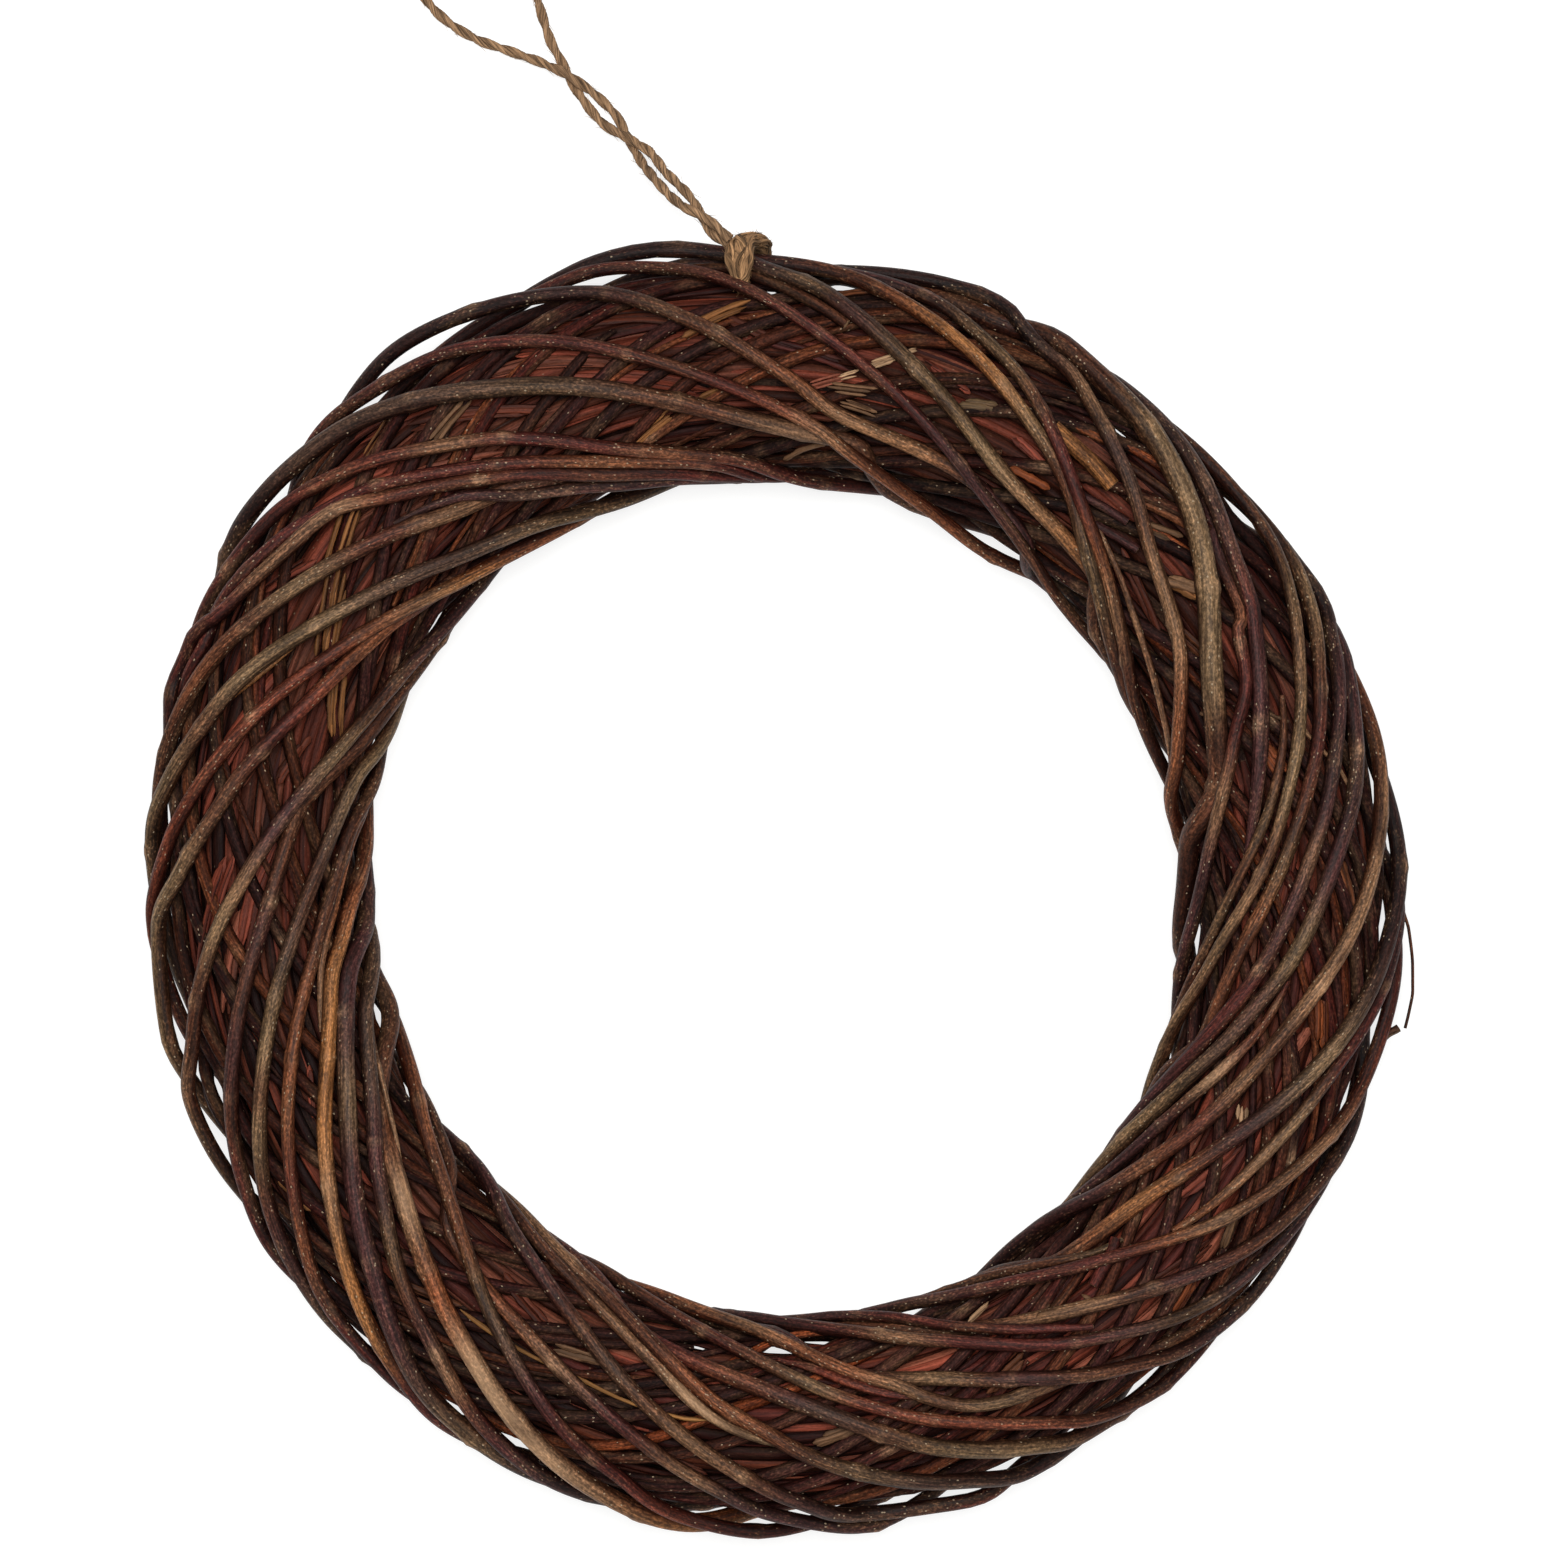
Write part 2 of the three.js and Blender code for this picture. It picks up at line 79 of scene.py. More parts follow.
# The outer rods on the front. Each has the clock angle at which it crosses the middle, its diameter, and
# places on its course as the camera sees them: clock angle, distance from the ring's middle, bark, and how
# far it lies above its layer, or below as a minus
FRONT_RODS = (
    (-1, 4.8, (
        (-35, 209.5, "char"), (-17, 197.5, "char"), (-10, 184.5, "umber"), (-2, 168.5, "umber"),
        (3, 159.5, "sienna"), (7, 151.5, "tan"), (11, 147.5, "tan"), (18, 146, "ochre", -2),
        (25, 141.5, "plum", -5), (36, 133.5, "plum", -3),
    )),
    (11, 3.8, (
        (-11, 200, "maroon"), (-3, 190.5, "maroon"), (3, 179.5, "maroon"), (9, 169, "maroon"),
        (15, 159, "maroon", 0.5), (21, 150, "plum", 1), (27, 141.5, "plum", 0.5), (37, 133, "umber"),
    )),
    (18.5, 5.2, (
        (-14, 206.5, "char"), (-5, 201.5, "char"), (-1, 196, "char"), (4, 191, "olive"), (7, 185, "plum"),
        (13, 173.5, "olive"), (21, 160, "olive"), (27, 151, "khaki"), (33, 145.5, "tan"),
        (40, 143.5, "ochre", -1), (46, 139, "umber", -5),
    )),
    (32, 4.2, (
        (13, 194.5, "plum"), (20, 187, "olive"), (24, 182, "olive"), (28, 175, "umber", 1),
        (32, 167.5, "maroon", 1.5), (38, 156.5, "maroon", 1), (44, 146.5, "sienna"), (50, 138.5, "tan"),
        (56, 132.5, "umber"),
    )),
    (42.5, 4.8, (
        (19, 197.5, "char"), (27, 192, "char"), (33, 183.5, "tan"), (37, 176.5, "char"),
        (41, 170.5, "slate"), (45, 163.5, "umber"), (49, 158, "tan"), (53, 154.5, "tan"),
        (59, 149.5, "tan"), (65, 141.5, "sienna"), (73, 133, "sienna"),
    )),
    (54.5, 7.5, (
        (28, 193, "umber"), (34, 190.5, "umber"), (39, 187.5, "khaki"), (47, 179, "khaki"),
        (55, 167, "khaki"), (61, 157.5, "khaki"), (66, 151.5, "khaki"), (70, 148, "umber", -2),
        (77, 142.5, "umber", -5),
    )),
    (65.5, 4.2, (
        (45, 190.5, "plum", -5), (53, 176.5, "plum", -5), (57, 169.5, "maroon", -1.5),
        (61, 172, "sienna", 1), (62.5, 170.5, "tan", 2), (66, 163, "maroon", 1), (72, 152, "maroon"),
        (80, 142.5, "tan"), (86, 137, "plum"), (95, 132.5, "plum"),
    )),
    (76.5, 4.2, (
        (54, 192, "umber"), (60, 187.5, "olive"), (66, 181, "tan"), (70, 177, "olive"),
        (76, 169.5, "khaki"), (80, 164, "khaki"), (85, 158, "umber"), (90, 151.5, "tan"),
        (97, 142.5, "olive"), (103, 137.5, "tan"), (112, 133, "khaki"),
    )),
    (83, 4.6, (
        (56, 194, "umber"), (61, 192, "khaki"), (68, 185, "umber"), (76, 176, "maroon"),
        (82, 167.5, "umber"), (88, 159.5, "olive"), (93, 153, "sienna"), (98, 147.5, "umber"),
        (105, 143.5, "sienna", -1), (110, 141, "umber", -4.5),
    )),
    (90, 5, (
        (64, 194, "char"), (70, 189.5, "plum"), (77, 181.5, "char"), (84, 173, "plum"), (86, 170, "tan"),
        (89, 166.5, "plum"), (95, 160, "plum"), (101, 154, "maroon"), (109, 145, "maroon"),
        (118, 138, "plum"),
    )),
    (98, 5.2, (
        (72, 191.5, "plum"), (80, 186.5, "char"), (86, 179, "plum"), (91, 173, "plum"),
        (95, 168.5, "khaki"), (99, 163.5, "olive"), (103, 157.5, "plum"), (110, 149.5, "slate"),
        (116, 142.5, "olive"), (124, 137, "khaki"),
    )),
    (107, 5.2, (
        (74, 195.5, "sienna"), (82, 194, "tan"), (88, 189.5, "tan"), (94, 183, "tan"), (101, 173.5, "tan"),
        (108, 164.5, "umber"), (112, 160.5, "tan"), (118, 155, "maroon"), (126, 147.5, "sienna"),
        (134, 141.5, "plum"),
    )),
    (119, 5.2, (
        (87, 197.5, "char"), (95, 194.5, "char"), (101, 189.5, "slate"), (108, 181, "khaki"),
        (113, 174, "slate"), (119, 165, "plum"), (125, 158, "sienna"), (131, 152, "ochre"),
        (137, 149.5, "sienna", -1), (143, 146, "umber", -5),
    )),
    (133, 4.2, (
        (99, 198.3, "maroon"), (108, 196, "brick"), (116, 189.5, "tan"), (122, 182.5, "umber"),
        (127, 175.5, "tan", 0.8), (131, 168.5, "sienna"), (137, 159, "maroon", -0.5), (143, 152, "maroon"),
        (150, 145, "maroon"), (160, 140, "plum"),
    )),
    (142, 4.8, (
        (114, 197.5, "char"), (121, 194, "umber"), (127, 188.5, "umber"), (133, 180, "plum"),
        (139, 171.5, "umber"), (142.5, 166.5, "tan"), (147, 161, "tan", -1.5), (152, 155, "umber", -5),
        (163, 143, "umber", -4),
    )),
    (150.5, 4.2, (
        (124, 195.5, "plum"), (132, 192, "char"), (136, 188, "olive"), (142, 179, "plum"),
        (148, 170.5, "maroon"), (154, 161, "maroon"), (160, 153, "maroon"), (164, 149.5, "tan"),
        (171, 142.5, "maroon"), (182, 136.5, "plum"),
    )),
    (159.5, 4.8, (
        (130, 199, "char"), (137, 196.5, "char"), (143, 189.5, "umber"), (149, 181, "umber"),
        (153, 174.5, "plum"), (158, 168.5, "umber"), (162, 163.5, "khaki"), (166, 160, "umber", -4),
        (174, 151, "plum", -5),
    )),
    (165.2, 4.2, (
        (143, 190.5, "umber", -5), (150, 181.5, "umber", -4), (154, 179, "olive", 0),
        (158, 177.5, "khaki", 1.5), (161, 173.5, "umber", 0.5), (166.5, 163.5, "tan", 0.5),
        (172, 155.5, "sienna"), (178, 146, "sienna"), (184, 140, "tan"), (192, 136, "sienna"),
    )),
    (170.8, 4.4, (
        (142, 200, "maroon"), (148, 197, "umber"), (153, 190.5, "brick"), (159, 182, "brick"),
        (165, 174.5, "brick"), (169, 168.5, "maroon"), (172, 164.5, "brick"), (175, 160.5, "khaki"),
        (181, 152, "umber"), (188, 144, "maroon"), (198, 136.5, "umber"),
    )),
    (176.6, 5.6, (
        (150, 199, "umber"), (155, 195.5, "khaki"), (160, 189.5, "khaki"), (164, 184.5, "olive"),
        (169, 176.5, "umber"), (174, 168.5, "slate"), (179, 162, "plum"), (185, 156, "sienna"),
        (190, 153, "maroon"), (198, 146, "maroon", -4.5),
    )),
    (186.5, 5, (
        (157, 201, "char"), (162, 198, "slate"), (168, 192.5, "slate"), (172, 187.5, "olive"),
        (178, 178.5, "umber"), (184, 169.5, "sienna"), (190, 160.5, "sienna"), (196, 150.5, "umber"),
        (203, 141.5, "umber"), (212, 134.5, "tan"),
    )),
    (195, 5.2, (
        (163, 204.5, "maroon"), (171, 201, "slate"), (177, 196, "char"), (183, 187.5, "umber"),
        (189, 178, "tan"), (194, 170, "umber"), (199, 161.5, "slate"), (205, 152, "umber"),
        (211, 144.5, "plum"), (219, 137, "plum"),
    )),
    (206, 4.8, (
        (172, 205, "plum"), (179, 200, "plum"), (185, 193, "char"), (189, 188, "tan"),
        (194, 181, "maroon"), (200, 173, "plum"), (206, 166, "tan"), (210, 161.5, "maroon"),
        (214, 158.5, "sienna", -4), (224, 149.5, "umber", -5),
    )),
    (213, 4.8, (
        (182, 204.5, "maroon"), (188.5, 201, "brick", 0.8), (195, 193.5, "maroon"), (201, 186, "maroon"),
        (206, 177.5, "plum"), (211, 168.5, "slate"), (217, 158.5, "olive", 0.5), (221, 151, "sienna"),
        (227, 143, "umber"), (237, 134.5, "sienna"),
    )),
    (221.5, 6.4, (
        (189, 204, "ochre"), (196, 200, "tan"), (202, 194, "pale_wood"), (208, 186, "pale_wood"),
        (213, 177.5, "pale_wood"), (218, 170.5, "orange_bark"), (223, 163, "sienna"), (227, 158.5, "tan"),
        (231, 153.5, "pale_wood"), (235, 148, "sienna", -2), (242, 140.5, "umber", -5),
    )),
    (228.5, 5, (
        (198, 201.5, "char"), (205, 198, "plum"), (210, 193, "maroon"), (213.5, 187.5, "tan"),
        (217, 181.5, "plum"), (223, 174, "umber"), (227, 167.5, "olive"), (233, 158, "plum"),
        (239, 149.5, "plum"), (245, 142.5, "slate"), (254, 136.5, "slate"),
    )),
    (235, 6, (
        (204, 201, "char"), (209, 199, "khaki"), (214, 196, "slate"), (220, 187.5, "plum"),
        (226, 177.5, "plum"), (232, 169, "plum"), (238, 160, "plum"), (244, 152, "khaki"),
        (250, 146.5, "plum"), (259, 141.5, "plum"),
    )),
    (241.5, 5.2, (
        (211, 200, "maroon"), (217, 196.5, "maroon"), (223, 190.5, "ochre"), (229, 182, "ochre"),
        (235, 173, "tan"), (241, 164.5, "ochre"), (247, 156, "ochre"), (253, 148, "ochre"),
        (259, 142.5, "ochre"), (267, 136.5, "sienna"),
    )),
    (249.5, 4.6, (
        (220, 197.5, "maroon"), (227, 195, "maroon"), (233, 188, "sienna"), (238, 181, "maroon"),
        (244, 173, "sienna"), (250, 164.5, "sienna"), (256, 156.5, "sienna"), (262, 148.5, "umber"),
        (269, 141.5, "umber"), (278, 136.5, "umber"),
    )),
    (256.5, 4.8, (
        (227, 197, "slate"), (234, 193.5, "plum"), (240, 188.5, "umber"), (244, 183.5, "khaki"),
        (249, 176, "umber"), (252, 171.5, "khaki"), (257, 164.5, "olive"), (263, 156.5, "slate"),
        (269, 149.5, "umber"), (276, 143, "slate"), (285, 138, "khaki"),
    )),
    (265, 5.2, (
        (235, 197, "maroon"), (241, 194, "maroon"), (247, 188.5, "umber"), (253, 180.5, "plum"),
        (259, 172.5, "umber"), (265, 164.5, "plum"), (271, 159, "umber"), (275, 156.5, "umber", -1),
        (280, 152.5, "umber", -5),
    )),
    (272.5, 4.8, (
        (246, 198, "olive"), (249.5, 197.5, "tan", 1), (255, 192, "umber"), (261, 185, "umber"),
        (266, 177.5, "khaki"), (270, 170.5, "tan"), (275, 163, "plum"), (281, 154.5, "plum"),
        (287, 147, "khaki"), (294, 140.5, "umber"), (304, 135.5, "plum"),
    )),
    (286.5, 5.2, (
        (258, 200, "khaki"), (265, 197, "khaki"), (271, 190.5, "khaki"), (277, 181, "umber"),
        (282, 174.5, "umber"), (288, 165, "maroon"), (293, 158, "brick"), (298, 153.5, "sienna"),
        (303, 148.5, "sienna", -3), (312, 139, "plum", -5),
    )),
    (293.5, 4.4, (
        (267, 199, "brick"), (273, 195, "brick"), (279, 188.5, "brick"), (285, 180, "brick"),
        (291, 170.5, "brick"), (297, 160.5, "brick"), (303, 152, "sienna"), (309, 145, "tan"),
        (315, 139, "ochre"), (322, 135.5, "sienna"),
    )),
    (301.5, 5.2, (
        (274, 199, "olive"), (280, 196, "khaki"), (286, 189.5, "umber"), (291, 182.5, "khaki"),
        (297, 173, "olive"), (301, 166.5, "khaki"), (305, 160, "slate"), (311, 152, "slate"),
        (317, 145, "slate"), (328, 138, "olive"),
    )),
    (311.5, 5.2, (
        (285, 198.5, "umber"), (291, 194.5, "sienna"), (297, 187, "umber"), (302, 180, "khaki"),
        (308, 172, "umber"), (313, 165.5, "maroon"), (317, 160, "tan"), (320, 157, "tan"),
        (325, 152, "umber", -4), (334, 143, "plum", -5),
    )),
    (320, 4.4, (
        (293, 200, "maroon"), (298, 196, "maroon"), (304, 190, "tan"), (309, 187, "maroon", 0.5),
        (311, 185, "pale_wood", 1.5), (313, 180.5, "sienna", 0.5), (317, 172.5, "maroon"),
        (323, 161.5, "umber"), (329, 153, "maroon"), (336, 143.5, "umber"), (346, 136.5, "maroon"),
    )),
    (327.5, 4.4, (
        (301, 201.5, "maroon"), (307, 199, "maroon"), (313, 192, "brick"), (319, 182.5, "maroon"),
        (323, 175.5, "tan"), (327, 170, "maroon"), (333, 159.5, "maroon"), (339, 149.5, "maroon"),
        (346, 141.5, "sienna"), (356, 135.5, "maroon"),
    )),
    (342, 6, (
        (304, 206, "char"), (312, 203.5, "slate"), (318, 199.5, "slate"), (324, 192, "slate"),
        (330, 183, "slate"), (334, 177.5, "olive"), (339, 170.5, "slate"), (345, 161.5, "umber"),
        (351, 154, "umber"), (356, 149, "umber"), (360, 146, "pale_wood"), (364, 144.5, "tan", -1),
        (370, 140.5, "umber", -5),
    )),
    (351, 4.4, (
        (320, 203.5, "maroon"), (327, 201, "maroon"), (332, 195.5, "maroon"), (338, 187, "maroon"),
        (344, 177, "maroon"), (348, 170.5, "umber"), (354, 161, "maroon"), (360, 152.5, "brick"),
        (366, 144.5, "tan"), (370, 139.5, "sienna"), (377, 132.5, "sienna"),
    )),
)
# Rods on the front alone, tucked in between those above
ADDED_RODS = (
    (27.5, 4.6, (
        (-3, 199.5, "plum"), (5, 196.5, "umber"), (11, 191.5, "sienna"), (17, 184.5, "ochre"),
        (23, 176.5, "ochre"), (29, 167.5, "khaki"), (33, 162.5, "umber", -2.5), (37, 155, "umber", -3),
        (41, 147.5, "olive", -0.5), (48, 139, "olive"), (56, 130.5, "umber"),
    )),
    (68, 5.4, (
        (40, 191.5, "char"), (46, 187.5, "slate"), (52, 181, "plum"), (58, 175, "maroon"),
        (64, 170, "plum", -1.5), (70, 163.5, "plum", -1.5), (76, 157.5, "plum", -1), (80, 154, "plum", -2),
        (86, 148, "plum", -5),
    )),
    (131.5, 4.2, (
        (92, 197.5, "plum"), (98, 195.5, "plum"), (103, 191.5, "maroon"), (109, 185, "maroon"),
        (114, 180.5, "khaki"), (118, 176.5, "tan"), (122, 173.5, "tan"), (126, 171, "sienna", -1),
        (131, 166, "sienna", -5),
    )),
    (105, 4, (
        (100, 165, "maroon", -4), (103, 163, "maroon", -1), (105, 162, "sienna"), (109, 156.5, "maroon"),
        (113, 152, "pale_wood", 0.6), (117, 147, "umber"), (122, 142.5, "plum"), (129, 139, "plum"),
        (138, 136.5, "plum"),
    )),
    (148.5, 3.6, (
        (144.5, 171.5, "maroon", 1), (148, 165, "maroon"), (152, 159, "maroon"), (156, 153, "umber"),
        (160, 147.5, "maroon"), (165, 141.5, "maroon"), (172, 137, "plum"),
    )),
    (189, 4, (
        (178, 178, "khaki", -2), (181, 175, "khaki", 0.8), (185, 172, "tan", 2),
        (187, 169.5, "pale_wood", 2), (190, 163.5, "pale_wood", 1), (194, 155, "umber"), (200, 147, "tan"),
        (206, 141, "umber"), (215, 135.5, "umber"),
    )),
    (324, 4.4, (
        (291, 200, "maroon"), (298, 197.5, "maroon"), (304, 193, "maroon"), (309, 188.5, "maroon", -1),
        (313, 183.5, "maroon", -1), (317, 176.5, "maroon"), (323, 167, "maroon"), (329, 158, "maroon"),
        (335, 149.5, "sienna"), (342, 142, "sienna"), (352, 136.5, "maroon"),
    )),
    (75.5, 3.4, (
        (69, 172.5, "umber", -4), (72, 169.5, "umber", -1), (76, 164.5, "umber"), (82, 156.5, "olive"),
        (88, 147.5, "umber"), (94, 140.5, "olive"), (100, 135.5, "umber"), (110, 131, "umber"),
    )),
    (167, 3.6, (
        (161, 169.5, "maroon", -2), (164, 168, "maroon"), (168, 163.5, "maroon"), (172, 158, "brick"),
        (176, 152, "maroon", -1), (180, 147.5, "maroon", -4),
    )),
    (317, 4, (
        (313, 167.5, "char", -4), (317, 164.5, "char", -1), (320, 161.5, "plum"), (324, 154, "plum"),
        (328, 147, "slate"), (333, 142, "plum"), (339, 137, "plum"), (348, 133, "plum"),
    )),
    (134, 3.2, (
        (135, 156, "olive", -2), (139, 154, "olive"), (143, 148.5, "umber"), (147, 144, "umber"),
        (153, 139.5, "umber"), (160, 137, "umber"),
    )),
    (247, 3, (
        (251, 151.5, "tan", -2), (256, 150, "tan"), (260, 148, "tan"), (265, 143.5, "sienna"),
        (270, 140, "sienna"), (278, 136.5, "sienna"),
    )),
    (40, 2.2, (
        (40, 154.5, "umber", -2), (43, 151.5, "tan"), (48, 147, "umber"), (53, 142, "tan"),
        (58, 138.5, "umber"), (64, 135, "tan"), (72, 132, "umber"),
    )),
    (291, 2, (
        (286, 188, "ochre", -1), (289, 184.5, "ochre", 0.5), (292, 179, "ochre", 0.5), (295, 174, "ochre"),
        (299, 169, "ochre", -1),
    )),
    (228, 2, (
        (231, 153, "tan", 0), (235, 148.5, "tan", 0.5), (239, 144, "tan", 0.5), (244, 140, "tan", 0),
        (250, 136.5, "umber", -1),
    )),
)
# Loose pieces seen between the outer rods. Each row has the colour, how many lie side by side, their width,
# how many times wider than thick they are, how far they spread, how deep they lie below the outer rods, and
# places as the camera sees them: clock angle, and distance from the ring's middle
SPLIT_STRIPS = (
    ("split_red", 3, 2.2, 2.6, 2.6, 3.2, ((15, 174.5), (22, 168.5))),
    ("split_red", 3, 2.2, 2.4, 2.4, 3.2, ((27, 162), (34, 157.5))),
    ("split_red", 2, 2.4, 2.6, 2.2, 3.2, ((-1, 182.5), (7, 178))),
    ("maroon", 3, 1.8, 2, 2.6, 3, ((-1, 174), (8, 167.5))),
    ("brick", 3, 2.2, 2.4, 2.6, 3.2, ((45, 153), (57, 145))),
    ("maroon", 3, 2, 2.2, 2.4, 3, ((64, 187.5), (75, 178))),
    ("split_red", 3, 2.4, 2.4, 3, 3.2, ((84, 165), (94, 159))),
    ("split_red", 3, 2.2, 2.6, 2.6, 3.2, ((119, 168.5), (128, 161.5))),
    ("brick", 4, 2.2, 2.4, 3.2, 3.2, ((129, 178.5), (140, 171.5))),
    ("split_red", 3, 2.4, 2.8, 2.2, 3, ((163, 183.5), (169, 179))),
    ("maroon", 3, 1.8, 2.2, 2.6, 3.2, ((172, 159), (183, 152))),
    ("split_red", 3, 2.6, 2.8, 3, 3.2, ((186, 189), (195, 181))),
    ("brick", 3, 2.4, 2.4, 3, 3.2, ((207, 158), (216, 150.5))),
    ("maroon", 3, 2, 2.2, 2.6, 3, ((220, 186), (230, 178.5))),
    ("split_red", 3, 2, 2.4, 2.4, 3.2, ((243, 164.5), (250, 158))),
    ("split_red", 5, 3.4, 3.2, 5, 3, ((257, 188), (266, 181), (275, 172.5))),
    ("brick", 3, 2.2, 2.4, 2.4, 3.2, ((281, 163.5), (288, 156.5))),
    ("split_red", 4, 2.2, 2.8, 3, 3, ((300, 188), (306, 179))),
    ("brick", 4, 2.4, 2.6, 3.6, 3, ((321, 187.5), (328, 178), (335, 167))),
    ("split_red", 4, 2.4, 2.8, 3.2, 3, ((332, 192), (339, 184.5), (346, 174.5))),
    ("brick", 3, 2.2, 2.6, 2.4, 3, ((355, 181), (360, 173))),
    ("salmon", 2, 1, 1.2, 3, 2.4, ((279, 175), (290, 162.5))),
    ("split_red", 5, 2.4, 2.8, 5, 4.4, ((303, 194), (311, 188), (320, 178))),
    ("salmon", 5, 2.2, 2.8, 5, 4.6, ((310, 180), (319, 173.5), (328, 162))),
    ("brick", 4, 2.4, 2.6, 4, 4.4, ((316, 168), (325, 158), (334, 149))),
    ("split_red", 5, 2.4, 2.8, 5, 4.2, ((314, 196), (323, 190.5), (333, 179))),
    ("salmon", 5, 2.2, 2.6, 5, 4.2, ((326, 190), (335, 184), (345, 172))),
    ("brick", 5, 2.2, 2.6, 5, 4.4, ((338, 192), (347, 187), (357, 176))),
    ("split_red", 5, 2.2, 2.6, 4.6, 4.4, ((336, 176), (345, 167), (354, 157))),
    ("split_red", 4, 3, 3, 4.4, 4.2, ((262, 172), (270, 166), (279, 156))),
    ("salmon", 3, 3, 3, 3.6, 4.2, ((256, 181), (263, 175), (270, 168))),
    ("split_red", 4, 3, 3, 4.4, 4.4, ((277, 185), (286, 178), (294, 170))),
    ("salmon", 2, 1, 1.2, 2.6, 2.6, ((186, 187.5), (193, 181.5))),
)
STRAWS = (
    ("ochre", 6, 1.5, 1.5, 6, 1.6, ((288, 148), (292, 152), (297, 156.5))),
    ("ochre", 6, 1.5, 1.5, 6, 1.6, ((296, 160), (301, 165), (307, 172.5))),
    ("ochre", 6, 1.5, 1.5, 6, 1.6, ((305, 172.5), (309, 177.5), (314, 183.5))),
    ("ochre", 5, 1.4, 1.5, 5, 1.8, ((315, 187), (319, 190.5), (323, 195))),
    ("tan", 4, 1.5, 1.5, 5, 1.8, ((322, 178.5), (328, 183.5))),
    ("ochre", 5, 1.5, 1.5, 5.5, 1.8, ((341, 147), (348, 155))),
    ("ochre", 3, 1.4, 1.4, 3, 1.8, ((350.5, 157), (354, 160))),
    ("ochre", 3, 2, 2, 3.4, 1.8, ((350, 178), (358, 186))),
    ("orange_bark", 4, 2.4, 2.2, 4.4, 1.8, ((100.5, 175.5), (106.5, 180))),
    ("tan", 3, 2.2, 2, 3.6, 1.8, ((124.5, 177.5), (129.5, 182.5))),
    ("orange_bark", 3, 2.2, 2, 3.4, 1.8, ((132.5, 181.5), (137, 185.5))),
    ("tan", 3, 2, 2, 3.6, 1.8, ((170.5, 172.5), (176.5, 177.5))),
    ("tan", 3, 2, 2, 3, 1.8, ((199.5, 160), (206.5, 162.5))),
    ("khaki", 2, 2.6, 1.4, 2.4, 1.6, ((20.5, 164.5), (25.5, 168.5))),
    ("tan", 3, 2, 2, 3.4, 1.8, ((44.5, 163), (49.5, 170.5))),
    ("tan", 2, 2, 2, 2.4, 1.8, ((146.5, 157), (149.5, 159))),
    ("sienna", 3, 2.4, 2.2, 3.6, 1.8, ((4, 187), (11, 192))),
    ("sienna", 3, 2.2, 2, 3.6, 1.8, ((56, 149.5), (62, 154))),
    ("sienna", 3, 2.2, 2.2, 3.4, 1.8, ((86, 178), (93, 183.5))),
    ("ochre", 3, 1.8, 2, 3.4, 1.8, ((234, 178), (241, 184.5))),
    ("sienna", 3, 2, 2, 3.4, 1.8, ((152, 168.5), (158, 174))),
    ("sienna", 3, 2, 2, 3.4, 1.8, ((217, 167.5), (224, 174))),
    ("yellow_straw", 1, 1.4, 1.2, 0.4, -0.6, (
        (187.5, 170.5), (190, 171), (193, 170.5), (197, 169.5), (201, 168), (206, 167.5), (212, 167.5),
        (217, 167),
    )),
    ("tan", 1, 1.6, 1, 0.2, -0.4, ((82, 185), (80, 184), (78, 182), (76, 178.5), (74, 175), (72, 173))),
    ("tan", 1, 1.2, 1, 0.2, 0.4, ((72, 170.5), (70.6, 166))),
    ("tan", 1, 1.6, 1, 0.2, 0.4, ((70, 152), (67.5, 145.5))),
    ("tan", 1, 2, 1.6, 0.4, 0.8, ((0.8, 136), (3, 139), (6.5, 142.5))),
    ("sienna", 1, 1.2, 1, 0.2, 0, (
        (91.5, 198.2), (93.5, 200.6), (96.5, 202.8), (99.5, 204.4), (102.6, 204.4),
    )),
)
